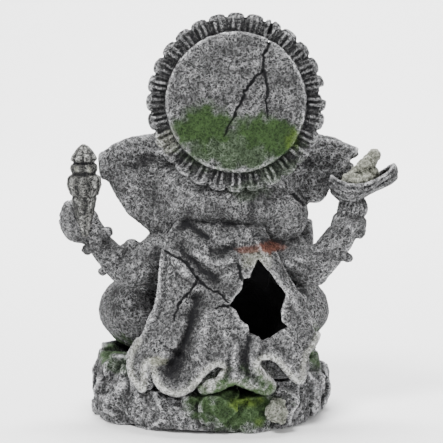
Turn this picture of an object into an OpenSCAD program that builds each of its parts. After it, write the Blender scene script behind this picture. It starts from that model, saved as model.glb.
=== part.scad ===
// Seated elephant-headed figure in cast, stone-finished resin: an aquarium ornament with a cave.
// The figure faces +Y and its cloaked back, with the cave mouth, faces -Y. +Z is up.
// The origin is in the middle of the rock base's flat underside. Millimetres.
// Left and right are the figure's own: its right side is at +X.

/* [Rock base] */
// Width of the rock base, side to side
base_w = 101; // [90:1:108]
// Depth of the rock base, back to front
base_d = 96; // [90:1:104]
// Height of the rock at the back, under the hem
base_h = 15.5; // [13:0.5:17]
// Extra height of the rock at the two sides
base_side_rise = 9.5; // [6:0.5:14]

/* [Figure] */
// Lean of the figure's axis towards +X, in degrees
lean = 5; // [0:0.5:7]
// Height of the halo's centre
halo_z = 125.6; // [120:0.2:132]
// How far the halo's back face looks up, in degrees
halo_tilt = 8; // [0:1:12]
// Radius of the halo's plain disc
disc_r = 27; // [24:0.5:29]
// Outer radius of the scalloped ring
ring_r = 34.6; // [32:0.2:37]
// Number of scallops round the ring
scallops = 28; // [24:2:40]
// Thickness of the halo's disc
disc_t = 6.5; // [5:0.5:8]
// Thickness of the cloak's cloth
cloth_t = 3.8; // [3:0.2:5]
// Thickness of the ears at the rim
ear_t = 4.6; // [4:0.2:6]

/* [Hidden] */

stone = [0.47, 0.47, 0.48];
pale_stone_colour = [0.62, 0.62, 0.56];
gap = 0.03;         // bonded faces stop about this far apart
$spin = 0;
ring_recess = 2.2;  // the ring lies this far below the disc's face
halo_y = -24;       // the disc's back face, at its centre

// ---- Shapes shared by the sub-parts ----

// The figure's own places are measured from its leaning axis
function on_axis(p) = [p[0] + tan(lean) * p[2], p[1], p[2]];
function mix(a, b, t) = a + (b - a) * t;
function unit(v) = v / norm(v);

// Catmull-Rom curve through pts; u runs from 0 at the first point to 1 at the last
function curve(pts, u) =
    let(n = len(pts) - 1, s = min(u * n, n - 0.0001), i = floor(s), t = s - i,
        a = pts[max(i - 1, 0)], b = pts[i], c = pts[i + 1], d = pts[min(i + 2, n)])
    0.5 * (2 * b + (c - a) * t + (2 * a - 5 * b + 4 * c - d) * t * t
           + (3 * b - a - 3 * c + d) * t * t * t);

// Faces of a tube whose rings of n points follow each other, closed by a flat cap at each end
function tube_faces(rings, n) = concat(
    [[for (k = [0:n - 1]) k]],
    [for (r = [0:rings - 2], k = [0:n - 1])
        let(a = r * n + k, b = r * n + (k + 1) % n) [b, a, a + n]],
    [for (r = [0:rings - 2], k = [0:n - 1])
        let(a = r * n + k, b = r * n + (k + 1) % n) [b, a + n, b + n]],
    [[for (k = [n - 1:-1:0]) (rings - 1) * n + k]]);

// A rounded limb along points [x, y, z, radius], measured from the leaning axis
module limb(path, sides = 12, steps = 8) {
    places = [for (i = [0:steps]) curve(path, i / steps)];
    for (i = [0:steps - 1]) hull() for (p = [places[i], places[i + 1]])
        translate(on_axis(p)) rotate([0, 0, $spin]) sphere(p[3], $fn = sides);
}

// An egg-shaped mass with its own radii, measured from the leaning axis. Its seam is turned by an
// amount that differs from egg to egg, so that no two eggs have edges that nearly coincide. $spin
// is set for each group of masses and turns them all.
module egg(c, r, sides = 16, rings = 8) {
    middle = on_axis(c);
    turn = 7.3 * c[2] + 3.1 * c[0] + $spin;
    points = [for (i = [0:rings], k = [0:sides - 1])
        let(t = -82 + 164 * i / rings, a = 360 * k / sides + turn)
        middle + [r[0] * cos(t) * cos(a), r[1] * cos(t) * sin(a), r[2] * sin(t) / sin(82)]];
    polyhedron(points, tube_faces(rings + 1, sides), convexity = 2);
}

// What a casting is cut back by. It stands off by the gap, in a direction picked by k
module cut(k = 0) {
    translate(gap * [cos(47 * k), sin(47 * k), 0.6 * cos(83 * k)]) children();
}

// One casting: everything in it becomes one closed skin. A resize of 0 keeps every size.
module casting() {
    resize([0, 0, 0]) union() children();
}

// A round bead or ring across a limb at c, facing along d
module across(c, d) {
    s = unit(d);
    translate(on_axis(c)) rotate([0, acos(s[2]), atan2(s[1], s[0])]) children();
}

module ring_band(r, thick) {
    rotate_extrude($fn = 20) translate([r, 0]) circle(thick, $fn = 6);
}

// ---- Rock base ----

base_steps = 30;
base_noise = rands(-1, 1, base_steps * 6, 7);

// Height of the rock's rim, at angle a from the back
function rim_height(a) = base_h - 1.5 + 2.5 * (1 - cos(a)) / 2 + base_side_rise * pow(sin(a), 2);
// Angle from the back of step k; step 0 is at -Y
function base_angle(k) = 360 * k / base_steps;
function base_point(k, reach, z, level) =
    let(a = base_angle(k), jag = base_noise[level * base_steps + k],
        size = reach + 0.014 * jag * (level > 4 ? 0 : 1))
    [base_w / 2 * size * sin(a), -base_d / 2 * size * cos(a), z];

// One ragged boulder: a hull of small balls round its middle
module boulder(c, r, seed) {
    jitter = rands(-1, 1, 30, seed);
    hull() for (i = [0:9])
        let(a = i * 137.5 + 20 * jitter[i], e = -70 + 15.5 * i, k = 0.82 + 0.14 * jitter[10 + i])
        translate(c + k * [r[0] * cos(a) * cos(e), r[1] * sin(a) * cos(e), r[2] * sin(e)])
            sphere(1.2, $fn = 4);
}

boulders = 15;
boulder_noise = rands(-1, 1, boulders * 3, 21);
module rock_boulders() {
    for (i = [0:boulders - 1])
        let(a = 360 * (i + 0.25 * boulder_noise[i]) / boulders,
            h = rim_height(a) * (0.50 + 0.06 * boulder_noise[boulders + i]),
            w = 10 + 2 * boulder_noise[2 * boulders + i])
        boulder([(base_w / 2 - 9.5) * sin(a), -(base_d / 2 - 9) * cos(a), h],
                [w, w, h + 1.2], 40 + i);
}

module rock_base_raw() {
    points = concat(
        [for (k = [0:base_steps - 1]) base_point(k, 0.90, 0, 0)],
        [for (k = [0:base_steps - 1]) base_point(k, 0.93, 4 + base_noise[k], 1)],
        [for (k = [0:base_steps - 1])
            base_point(k, 0.93, rim_height(base_angle(k)) * 0.62 + base_noise[40 + k], 2)],
        [for (k = [0:base_steps - 1])
            base_point(k, 0.88, rim_height(base_angle(k)) - 1 + 0.8 * base_noise[80 + k], 3)],
        [for (k = [0:base_steps - 1])
            base_point(k, 0.76, rim_height(base_angle(k)) + 0.5 * base_noise[120 + k], 4)],
        [for (k = [0:base_steps - 1]) base_point(k, 0.60, base_h, 5)],
        [for (k = [0:base_steps - 1]) base_point(k, 0.2, base_h, 5)]);
    polyhedron(points, tube_faces(7, base_steps), convexity = 4);
    intersection() {
        rock_boulders();
        translate([-100, -100, 0]) cube([200, 200, 100]);
    }
}

module pale_stone_raw() {
    boulder([26.5, -41.5, 8.5], [4.8, 5.2, 4.6], 90);
}

// ---- Body ----

module torso_raw() {
    $spin = 2;
    egg([0, 8, 45], [25, 25, 24]);            // belly
    egg([0, -7, 33], [29, 23, 20]);           // seat
    egg([0, -9, 58], [21, 18, 22]);           // middle of the back
    egg([-17, -4, 73], [11, 11, 10], 12, 7);  // shoulders
    egg([17, -4, 73], [11, 11, 10], 12, 7);
    egg([-1, -10, 87], [20, 15, 12]);         // nape
}

// The hollow that makes the cave
module cave_raw() {
    $spin = 0;
    egg([5, -20, 38], [23, 24, 20.5]);
    egg([9, -24, 53], [14, 16, 14], 12, 7);
}

left_leg = [[-12, 0, 31, 13], [-27, 1, 36, 14.5], [-35, 4, 40, 13.5], [-33, 17, 34, 11.5],
            [-20, 30, 27, 9], [-4, 37, 24, 7], [9, 39, 23, 5.5]];
right_leg = [[12, 0, 31, 13], [24, 2, 36, 14], [32.5, 5, 40, 13.5], [31, 15, 34, 11.5],
             [21, 25, 27, 9], [6, 29, 22, 7.5], [-5, 30, 20, 6]];

module leg_raw(path) {
    $spin = 1;
    limb(path, 14, 8);
}

// ---- Cloak over the back, a height field in y over an outline that widens downwards ----

// Left and right edge, and depth at the middle and at the edges, from the top down
cloak_edges = [[-17, 12, -22, -19], [-23.3, 18, -27, -20], [-24.7, 24.5, -30.5, -22],
               [-25.9, 31.8, -35, -25], [-29.5, 37.4, -40, -28], [-32.1, 37.4, -43.5, -31],
               [-29.5, 34.5, -45, -34]];
cloak_top = 80.5;
// The hem from left to right: place across (-1 to 1), height, and how far it stands out
hem = [[-1, 21, 0], [-0.88, 18.5, 2], [-0.78, 24, -1], [-0.68, 19.5, 1], [-0.5, 17, 2],
       [-0.34, 18, 1], [-0.16, 23, -2], [0.04, 25, -0.5], [0.14, 20.5, -3],
       [0.28, 20, -1.5], [0.48, 18, 0.5], [0.6, 18, 1], [0.68, 24, -2],
       [0.76, 27, 0], [0.88, 23, 0], [1, 20, 1]];
cloak_cols = 40;
cloak_rows = 13;

function hem_at(x) =
    let(i = max([for (k = [0:len(hem) - 2]) hem[k][0] <= x ? k : 0]),
        t = (x - hem[i][0]) / (hem[i + 1][0] - hem[i][0]), s = t * t * (3 - 2 * t))
    mix(hem[i], hem[i + 1], s);

// Folds that grow towards the hem
function folds(x, v) = -2.1 * pow(v, 1.4) * cos(360 * (1.35 * x + 0.30 * v + 0.15));

function cloak_point(x, v, depth) =
    let(e = curve(cloak_edges, v), h = hem_at(x), grow = pow(v, 2.2),
        z = mix(cloak_top, mix(18, h[1], pow(v, 3)), v),
        bow = pow(abs(x), 2.4))
    on_axis([mix(e[0], e[1], (x + 1) / 2),
             mix(e[2], e[3], bow) + folds(x, v) * (1 - bow) - h[2] * grow + depth, z]);

module cloak_sheet() {
    n = cloak_cols + 1;
    m = cloak_rows + 1;
    points = [for (depth = [0, cloth_t], r = [0:m - 1], c = [0:n - 1])
        cloak_point(2 * c / cloak_cols - 1, r / cloak_rows, depth)];
    half = n * m;
    faces = concat(
        [for (r = [0:m - 2], c = [0:n - 2])
            let(a = r * n + c) [a, a + 1, a + n + 1]],
        [for (r = [0:m - 2], c = [0:n - 2])
            let(a = r * n + c) [a, a + n + 1, a + n]],
        [for (r = [0:m - 2], c = [0:n - 2])
            let(a = half + r * n + c) [a + 1, a, a + n + 1]],
        [for (r = [0:m - 2], c = [0:n - 2])
            let(a = half + r * n + c) [a + n + 1, a, a + n]],
        [for (c = [0:n - 2]) [c + 1, c, half + c]],
        [for (c = [0:n - 2]) [c + 1, half + c, half + c + 1]],
        [for (c = [0:n - 2]) let(a = (m - 1) * n + c) [a, a + 1, a + half]],
        [for (c = [0:n - 2]) let(a = (m - 1) * n + c) [a + 1, a + 1 + half, a + half]],
        [for (r = [0:m - 2]) let(a = r * n) [a, a + n, a + half]],
        [for (r = [0:m - 2]) let(a = r * n) [a + n, a + n + half, a + half]],
        [for (r = [0:m - 2]) let(a = r * n + n - 1) [a + n, a, a + half]],
        [for (r = [0:m - 2]) let(a = r * n + n - 1) [a + n, a + half, a + n + half]]);
    polyhedron(points, faces, convexity = 10);
}

// Broken outline of the cave mouth, in x and z
mouth = [[19.4, 65.3], [17, 60.5], [16.2, 58.5], [13.8, 58.3], [13.2, 54.5], [10.5, 51.5],
         [8.4, 48.5], [11, 46.5], [12.6, 43.2], [15.7, 41], [16, 38.2], [19.6, 36.9],
         [21.1, 35.2], [24.4, 36.2], [27.8, 38.8], [31, 40], [28.6, 42], [28.2, 45.5],
         [30.3, 51.5], [28.8, 54], [27, 55.6], [24.6, 59.5], [23.1, 61]];

module mouth_cut() {
    translate([0, -8, 0]) rotate([90, 0, 0]) linear_extrude(60) polygon(mouth);
}

// ---- Head ----

module head_raw() {
    $spin = 7;
    egg([0, 3, 98], [19.5, 17, 19], 14, 8);
    egg([-7, 9, 110], [9.5, 9.5, 9], 12, 7);
    egg([7, 9, 110], [9.5, 9.5, 9], 12, 7);
    egg([-9, 11, 91], [8.5, 9, 9], 12, 7);
    egg([9, 11, 91], [8.5, 9, 9], 12, 7);
    egg([0, -10, 106], [16, 10, 14], 12, 7);
}

trunk_path = [[0, 14, 99, 8], [0, 24, 92, 8], [0, 32, 82, 7], [-1, 36, 71, 6],
              [-6, 38, 60, 5.2], [-14, 38.5, 55, 4.4], [-21, 37, 58, 3.8], [-22, 35, 63, 3.3]];

module trunk_raw() {
    $spin = 2;
    limb(trunk_path, 12, 12);
}

module tusk_raw(side) {
    $spin = 2;
    limb([[side * 9, 17, 90, 2.6], [side * 11, 24, 86, 2.4], [side * 12, 31, 84.5, 1.7],
          [side * 12, 35, 85.5, 0.9]], 8, 5);
}

// Crown as one turned profile: radius and height above its brim
crown_profile = [[0, -3], [13.5, -3], [14.5, 0], [14.5, 3], [13, 4.5], [12.4, 9], [10.6, 10],
                 [10.2, 15], [7.8, 16.2], [7.2, 20.5], [5, 21.7], [3.6, 25], [4.2, 27],
                 [3.2, 29.5], [0, 31]];
crown_seat = [0, 4, 116];

module crown_raw() {
    translate(on_axis(crown_seat)) rotate_extrude($fn = 28) polygon(crown_profile);
}

// ---- Ears: outlines from the top inner corner round to the bottom, [across, depth, height] ----

ear_outline = [[-18, 0, 109], [-33.3, -5, 109.8], [-40.0, -6, 108.3], [-46.5, -7, 105.4],
               [-49.6, -8, 102.0], [-49.2, -8, 98.6], [-45.4, -8, 93.6], [-41.8, -8.5, 87.6],
               [-37.6, -9, 81.6], [-31.8, -10, 77.4], [-26.6, -11, 74.2], [-21, -12, 73.2],
               [-15, -8, 77]];

module ear_raw(side) {
    $spin = 13;
    hull() for (p = ear_outline)
        translate(on_axis([side * -p[0], p[1], p[2]])) sphere(ear_t / 2, $fn = 8);
    egg([side * 22.5, -8, 79.5], [10, 8.5, 9], 14, 8);
    egg([side * 22, -5, 94], [13, 7.5, 15], 14, 8);
}

// What is broken off the right ear, in x and z
ear_break = [[62, 104], [56.3, 102.2], [54.6, 99.5], [55.5, 96], [51, 93], [49.6, 89.5],
             [46.2, 86.5], [43.5, 84.3], [40, 84.9], [37.2, 83.8], [39.6, 80.6], [37.5, 76],
             [44, 70], [70, 80]];

module ear_break_cut() {
    translate([0, 20, 0]) rotate([90, 0, 0]) linear_extrude(60) polygon(ear_break);
}

module ear_right_raw() {
    difference() {
        ear_raw(1);
        ear_break_cut();
    }
}

// ---- Halo ----

module at_halo() {
    translate(on_axis([0, 0, halo_z]) + [0, halo_y, 0]) rotate([90 - halo_tilt, 0, 0]) children();
}

module halo_disc_raw() {
    at_halo() {
        translate([0, 0, -disc_t]) cylinder(h = disc_t - 0.8, r = disc_r, $fn = 96);
        translate([0, 0, -0.8]) cylinder(h = 0.8, r1 = disc_r, r2 = disc_r - 0.8, $fn = 96);
    }
}

// Outline of the ring: each scallop is a shallow arc between two notches
scallop_steps = 6;
function scallop_r(a) = ring_r - 1.5 * (1 - pow(abs(cos(a * scallops / 2)), 0.55));
ring_outline = [for (k = [0:scallops * scallop_steps - 1])
    let(a = 360 * k / (scallops * scallop_steps)) scallop_r(a) * [cos(a), sin(a)]];
// The chip in the ring's right side
ring_chip = [[31.9, 6.1], [32.2, 3.4], [33.2, 1.0], [38, 0], [38, 7]];

module halo_ring_raw() {
    at_halo() translate([0, 0, -disc_t]) linear_extrude(disc_t - ring_recess) difference() {
        polygon(ring_outline);
        circle(disc_r + gap, $fn = 96);
        polygon(ring_chip);
    }
}

// ---- Arms ----

rear_left_path = [[-14, -8, 72, 7], [-23, -13, 67, 8], [-34, -15, 59, 7.3], [-39, -15, 60, 6.6],
                  [-46, -14.5, 66.5, 5.6], [-52, -14, 73, 5]];
rear_right_path = [[14, -8, 71, 7], [24, -12, 65, 8], [36, -14, 60, 7.2], [41.5, -14, 61, 6.4],
                   [46, -14, 69, 5.2], [48.8, -14, 77, 4.8]];
front_left_path = [[-15, 0, 73, 8.5], [-27, 6, 63, 7], [-36, 10, 52, 6.2], [-36.5, 17, 50, 5.4],
                   [-36.5, 24, 52.5, 4.4]];
front_right_path = [[15, 0, 73, 8.5], [27, 6, 64, 7], [35.5, 11, 55, 6.2], [35, 17, 56.5, 5.4],
                    [33.5, 20, 62.5, 4]];

module rear_arm_left_raw() {
    $spin = 2;
    limb(rear_left_path, 12, 7);
    egg([-59, -13, 78.5], [6.3, 6.2, 8.2]);
}

module rear_arm_right_raw() {
    $spin = 1;
    limb(rear_right_path, 12, 7);
    limb([[48.8, -14, 77, 5.2], [49, -14, 81, 5.4], [49.3, -14, 85.5, 6.6]], 12, 2);
}

module front_arm_left_raw() {
    $spin = 3;
    limb(front_left_path, 10, 6);
    egg([-37, 25.5, 54.2], [5.6, 7.6, 3.6]);
}

// Open palm, upright, with its fingers as one hull
module front_arm_right_raw() {
    $spin = 1;
    limb(front_right_path, 10, 6);
    hull() for (p = [[30, 21, 63.5, 2.2], [36.2, 21, 63.5, 2.2], [29.6, 22, 72.5, 1.7],
                     [35.4, 22, 72.8, 1.7]])
        translate(on_axis(p)) sphere(p[3], $fn = 12);
}

// ---- Ornaments ----

module bangle(c, d, r, thick = 1.3) {
    across(c, d) ring_band(r, thick);
}

mace_foot = [-54.2, -18.6, 73];
mace_top = [-58.6, -18.6, 108];
mace_profile = [[0, 0], [1.8, 0.4], [2.6, 4], [3.6, 8], [4.7, 11.5], [4.9, 14], [4.4, 15],
                [5.2, 17], [5.5, 21], [4.9, 23.5], [4.5, 25], [5.1, 26.2], [5.1, 28],
                [4.3, 28.7], [4.7, 30], [3.2, 32.6], [1.2, 34.8], [0, 35.4]];

module mace_raw() {
    across(mace_foot, on_axis(mace_top) - on_axis(mace_foot))
        rotate_extrude() polygon(mace_profile);
}

// The bowl is turned, lies leaning to its side and is open along its rim
bowl_c = [51, -13.5, 93.5];
bowl_l = 15.5;
bowl_wall = 2.2;

module bowl_frame() {
    translate(on_axis(bowl_c)) rotate([12, -23, 0]) children();
}

module bowl_body() {
    bowl_frame() scale([1, 0.66, 0.62]) sphere(bowl_l, $fn = 24);
}

module bowl_raw() {
    difference() {
        bowl_body();
        bowl_frame() translate([0, 0, 1.4]) scale([1, 0.62, 0.56]) sphere(bowl_l - bowl_wall, $fn = 24);
        bowl_frame() translate([-30, -30, 1.4]) cube([60, 60, 40]);
    }
}

sweet_places = [[-6, -3, -1, 3], [-1.5, -4.5, -1.5, 3], [3.5, -3.5, -1, 2.9], [-3.5, 1, 0, 3.1],
                [2, 1.5, 0, 3.1], [7, 0, 0.5, 2.6], [2.6, 0, 3.6, 3.2], [6, 0.4, 5.6, 2.8],
                [9.2, 0.5, 7.8, 2.3]];

module sweets_raw() {
    bowl_frame() for (s = sweet_places)
        translate([s[0], s[1], s[2]]) sphere(s[3], $fn = 10);
}

module held_sweet_raw() {
    $spin = 0;
    egg([-37.6, 24.5, 60.2], [4.2, 4.2, 4.4], 14, 8);
}

necklace_beads = 17;
module necklace_raw() {
    for (i = [0:necklace_beads - 1])
        let(a = -80 + 160 * i / (necklace_beads - 1))
        translate(on_axis([14.5 * sin(a), 24 + 5 * cos(a), 72 - 9 * cos(a)]))
            sphere(i == (necklace_beads - 1) / 2 ? 3 : 1.7, $fn = 8);
}

// ---- Sub-parts: each is cut back from the neighbours that it is bonded to ----

module rock_base() { color(stone) casting() rock_base_raw(); }

module pale_stone() {
    color(pale_stone_colour) casting() difference() {
        pale_stone_raw();
        cut(0) {
            rock_base_raw();
        }
    }
}

module torso() {
    color(stone) casting() difference() {
        torso_raw();
        cut(0) {
            cave_raw();
            mouth_cut();
            rock_base_raw();
        }
    }
}

module back_drape() {
    color(stone) casting() difference() {
        cloak_sheet();
        cut(12) {
            mouth_cut();
            torso_raw();
            leg_raw(left_leg);
            leg_raw(right_leg);
            rear_arm_left_raw();
            rear_arm_right_raw();
            rock_base_raw();
        }
    }
}

module leg_left() {
    color(stone) casting() difference() {
        leg_raw(left_leg);
        cut(1) {
            torso_raw();
            cave_raw();
            rock_base_raw();
        }
    }
}

module leg_right() {
    color(stone) casting() difference() {
        leg_raw(right_leg);
        cut(2) {
            torso_raw();
            cave_raw();
            leg_raw(left_leg);
            rock_base_raw();
        }
    }
}

module head() {
    color(stone) casting() difference() {
        head_raw();
        cut(5) {
            torso_raw();
            halo_disc_raw();
        }
    }
}

module trunk() {
    color(stone) casting() difference() {
        trunk_raw();
        cut(2) {
            head_raw();
            torso_raw();
        }
    }
}

module tusks() {
    color(stone) casting() for (side = [-1, 1]) difference() {
        tusk_raw(side);
        cut(0) {
            head_raw();
            trunk_raw();
        }
    }
}

module crown() {
    color(stone) casting() difference() {
        crown_raw();
        cut(1) {
            head_raw();
            halo_disc_raw();
        }
    }
}

module ear_left() {
    color(stone) casting() difference() {
        ear_raw(-1);
        cut(2) {
            head_raw();
            torso_raw();
            halo_disc_raw();
        }
    }
}

module ear_right() {
    color(stone) casting() difference() {
        ear_right_raw();
        cut(1) {
            head_raw();
            torso_raw();
            halo_disc_raw();
            bowl_raw();
        }
    }
}

module halo_disc() { color(stone) halo_disc_raw(); }
module halo_ring() { color(stone) halo_ring_raw(); }

module rear_arm_left() {
    color(stone) casting() difference() {
        rear_arm_left_raw();
        cut(0) {
            torso_raw();
            ear_raw(-1);
            leg_raw(left_leg);
            mace_raw();
        }
    }
}

module rear_arm_right() {
    color(stone) casting() difference() {
        rear_arm_right_raw();
        cut(0) {
            torso_raw();
            ear_right_raw();
            leg_raw(right_leg);
            bowl_body();
        }
    }
}

module front_arm_left() {
    color(stone) casting() difference() {
        front_arm_left_raw();
        cut(2) {
            torso_raw();
            rear_arm_left_raw();
            ear_raw(-1);
            leg_raw(left_leg);
        }
    }
}

module front_arm_right() {
    color(stone) casting() difference() {
        front_arm_right_raw();
        cut(6) {
            torso_raw();
            rear_arm_right_raw();
            ear_right_raw();
            leg_raw(right_leg);
        }
    }
}

module bangles_rear_left() {
    color(stone) casting() difference() {
        union() {
            bangle([-49.5, -14.2, 70.3], [-6, 0.5, 6.8], 5.4, 1.5);
            bangle([-42.5, -14.8, 63], [-7, 0.5, 6.5], 6.2, 1.2);
        }
        cut(0) {
            rear_arm_left_raw();
        }
    }
}

module bangles_rear_right() {
    color(stone) casting() difference() {
        union() {
            bangle([48.3, -14, 75.3], [2.6, 0, 8], 5.2, 1.7);
            bangle([44.5, -14, 66], [4, 0, 8], 5.9, 1.2);
        }
        cut(3) {
            rear_arm_right_raw();
        }
    }
}

module bangles_front_left() {
    color(stone) casting() difference() {
        bangle([-36.5, 21, 51.2], [0, 7, 2], 5, 1.3);
        cut(1) {
            front_arm_left_raw();
            leg_raw(left_leg);
        }
    }
}

module bangles_front_right() {
    color(stone) casting() difference() {
        bangle([34, 19, 60.2], [-1, 3, 6], 4.7, 1.3);
        cut(1) {
            front_arm_right_raw();
        }
    }
}

module anklets() {
    color(stone) casting() {
        difference() {
            bangle([-4, 37, 24], [13, 5, -2], 7.2, 1.4);
            cut(1) {
                leg_raw(left_leg);
                rock_base_raw();
            }
        }
        difference() {
            bangle([17.5, 26.2, 25.6], [-15, 5, -6], 9, 1.3);
            cut(1) {
                leg_raw(right_leg);
                leg_raw(left_leg);
                translate([0, -25, 0]) cube([50, 50, 60]);
            }
        }
    }
}

module necklace() {
    color(stone) casting() difference() {
        necklace_raw();
        cut(0) {
            torso_raw();
            trunk_raw();
            head_raw();
        }
    }
}

module mace() { color(pale_stone_colour) mace_raw(); }
module bowl() { color(stone) casting() bowl_raw(); }

module sweets() {
    color(pale_stone_colour) casting() difference() {
        sweets_raw();
        cut(0) {
            bowl_raw();
        }
    }
}

module held_sweet() {
    color(pale_stone_colour) casting() difference() {
        held_sweet_raw();
        cut(0) {
            front_arm_left_raw();
        }
    }
}

rock_base();
pale_stone();
torso();
back_drape();
leg_left();
leg_right();
head();
trunk();
tusks();
crown();
ear_left();
ear_right();
halo_disc();
halo_ring();
rear_arm_left();
rear_arm_right();
front_arm_left();
front_arm_right();
bangles_rear_left();
bangles_rear_right();
bangles_front_left();
bangles_front_right();
anklets();
necklace();
mace();
bowl();
sweets();
held_sweet();
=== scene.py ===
"""Visual model of the seated figure ornament with a cave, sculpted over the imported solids.

Every piece starts as its CAD node's own solid. It is turned into a distance field, blended with
its neighbours, given modelled details, meshed again and then grained like cast stone. Lengths in
this file are millimetres in the row frame; only the finished meshes are scaled to metres.
"""

import math

import bpy
import numpy as np
import openvdb as vdb
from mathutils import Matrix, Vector


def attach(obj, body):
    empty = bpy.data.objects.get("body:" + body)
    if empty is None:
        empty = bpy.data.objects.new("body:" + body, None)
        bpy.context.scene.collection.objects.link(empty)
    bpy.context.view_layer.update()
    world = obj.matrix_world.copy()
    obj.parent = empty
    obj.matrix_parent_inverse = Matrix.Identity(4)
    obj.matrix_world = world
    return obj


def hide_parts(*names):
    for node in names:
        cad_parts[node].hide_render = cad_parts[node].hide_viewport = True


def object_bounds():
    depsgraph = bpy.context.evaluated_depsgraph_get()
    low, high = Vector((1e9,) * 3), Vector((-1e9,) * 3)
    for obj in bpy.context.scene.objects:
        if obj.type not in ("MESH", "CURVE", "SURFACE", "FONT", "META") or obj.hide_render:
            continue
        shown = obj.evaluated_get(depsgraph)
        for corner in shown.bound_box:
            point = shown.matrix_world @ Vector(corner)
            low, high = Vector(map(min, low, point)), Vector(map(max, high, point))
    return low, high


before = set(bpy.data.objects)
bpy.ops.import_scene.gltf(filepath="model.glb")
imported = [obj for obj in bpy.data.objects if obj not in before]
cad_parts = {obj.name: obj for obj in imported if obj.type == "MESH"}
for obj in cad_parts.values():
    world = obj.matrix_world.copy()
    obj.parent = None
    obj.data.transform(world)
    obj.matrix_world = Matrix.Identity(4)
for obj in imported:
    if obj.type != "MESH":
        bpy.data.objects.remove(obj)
cad_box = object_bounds()

CAD_LOW, CAD_HIGH = (np.array(v) * 1000.0 for v in cad_box)
# Lattice steps for the figure, the rock, the cloak, the halo's disc and the small pieces
VOXEL, ROCK_STEP, CLOTH_STEP, DISC_STEP, FINE = 0.53, 0.55, 0.42, 0.38, 0.32
# How far from a surface distances are kept
BAND = 5.0
LEAN = math.tan(math.radians(5.0))


# ---- Camera, floor and light ----


def new_object(name, data):
    made = bpy.data.objects.new(name, data)
    bpy.context.scene.collection.objects.link(made)
    return made


def aim(thing, place, target):
    """Puts a camera or lamp at a place and turns it to face a target."""
    thing.location = place
    thing.rotation_mode = "QUATERNION"
    thing.rotation_quaternion = (Vector(target) - Vector(place)).to_track_quat("-Z", "Y")


def make_camera():
    """Square on to the figure's back and looking down on it a little."""
    data = bpy.data.cameras.new("camera")
    data.sensor_width = 36.0
    data.lens = 137.0
    data.clip_start, data.clip_end = 0.01, 20.0
    target = Vector((0.0054, 0.0, 0.076))
    down = math.radians(8.0)
    cam = new_object("camera", data)
    aim(cam, target + 0.675 * Vector((0.0, -math.cos(down), math.sin(down))), target)
    bpy.context.scene.camera = cam


def make_floor():
    """A pale sweep: level under the figure and curving up far behind it."""
    profile = [(-2.0, 0.0), (0.9, 0.0)]
    profile += [(0.9 + 0.6 * math.sin(a), 0.6 - 0.6 * math.cos(a))
                for a in np.linspace(0.1, math.pi / 2, 14)]
    profile.append((1.5, 2.6))
    verts = [(x, y, z) for x in (-3.0, 3.0) for y, z in profile]
    n = len(profile)
    faces = [(i, i + 1, n + i + 1, n + i) for i in range(n - 1)]
    mesh = bpy.data.meshes.new("floor")
    mesh.from_pydata(verts, [], faces)
    mesh.polygons.foreach_set("use_smooth", [True] * len(mesh.polygons))
    floor = new_object("floor", mesh)
    mat = bpy.data.materials.new("floor")
    mat.use_nodes = True
    shader = mat.node_tree.nodes["Principled BSDF"]
    shader.inputs["Base Color"].default_value = (0.93, 0.93, 0.93, 1.0)
    shader.inputs["Roughness"].default_value = 0.9
    mesh.materials.append(mat)


def make_lamp(name, place, target, size, watts):
    data = bpy.data.lights.new(name, "AREA")
    data.shape = "DISK"
    data.size = size
    data.energy = watts
    lamp = new_object(name, data)
    aim(lamp, place, target)


def make_lights():
    centre = (0.0, 0.0, 0.08)
    make_lamp("key", (-0.35, -0.60, 1.05), centre, 0.35, 19.0)
    make_lamp("fill", (0.85, -0.8, 0.40), centre, 0.7, 4.0)
    make_lamp("front", (0.3, 1.1, 0.9), centre, 0.9, 9.0)
    make_lamp("backdrop", (0.0, 0.4, 1.4), (0.0, 1.4, 0.0), 0.8, 60.0)
    world = bpy.data.worlds.new("studio")
    world.use_nodes = True
    sky = world.node_tree.nodes["Background"].inputs
    sky["Color"].default_value = (1.0, 1.0, 1.0, 1.0)
    sky["Strength"].default_value = 0.5
    bpy.context.scene.world = world


# ---- Noise ----

_rng = np.random.default_rng(11)
_grads = _rng.normal(size=(256, 3))
_grads /= np.linalg.norm(_grads, axis=1)[:, None]
_grads = _grads.astype(np.float32)
_perm = np.concatenate([_rng.permutation(256)] * 3)


def noise(p, size, seed=0):
    """Smooth gradient noise, about -1 to 1, with features of the given size."""
    q = np.asarray(p, np.float32) / np.float32(size) + np.float32(seed * 13.73 + 91.3)
    cell = np.floor(q).astype(np.int64)
    f = (q - cell).astype(np.float32)
    u = f * f * f * (f * (f * 6 - 15) + 10)
    cell &= 255
    out = np.zeros(len(q), np.float32)
    for dx in (0, 1):
        hx = _perm[cell[:, 0] + dx]
        wx = u[:, 0] if dx else 1 - u[:, 0]
        for dy in (0, 1):
            hy = _perm[hx + cell[:, 1] + dy]
            wy = u[:, 1] if dy else 1 - u[:, 1]
            for dz in (0, 1):
                g = _grads[_perm[hy + ((cell[:, 2] + dz) & 255)] & 255]
                wz = u[:, 2] if dz else 1 - u[:, 2]
                d = g[:, 0] * (f[:, 0] - dx) + g[:, 1] * (f[:, 1] - dy) + g[:, 2] * (f[:, 2] - dz)
                out += wx * wy * wz * d
    return out * 1.7


def wobble(p, size, *seeds):
    """A noise for each seed side by side, which makes an edge ragged when added to places."""
    return np.stack([noise(p, size, seed) for seed in seeds], 1)


def ridges(p, size, seed=0):
    """A net of raised lines round shallow pits: 1 on a line, about 0 in a pit."""
    return np.clip(1.0 - 2.3 * np.abs(noise(p, size, seed)), 0.0, 1.0)


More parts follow.
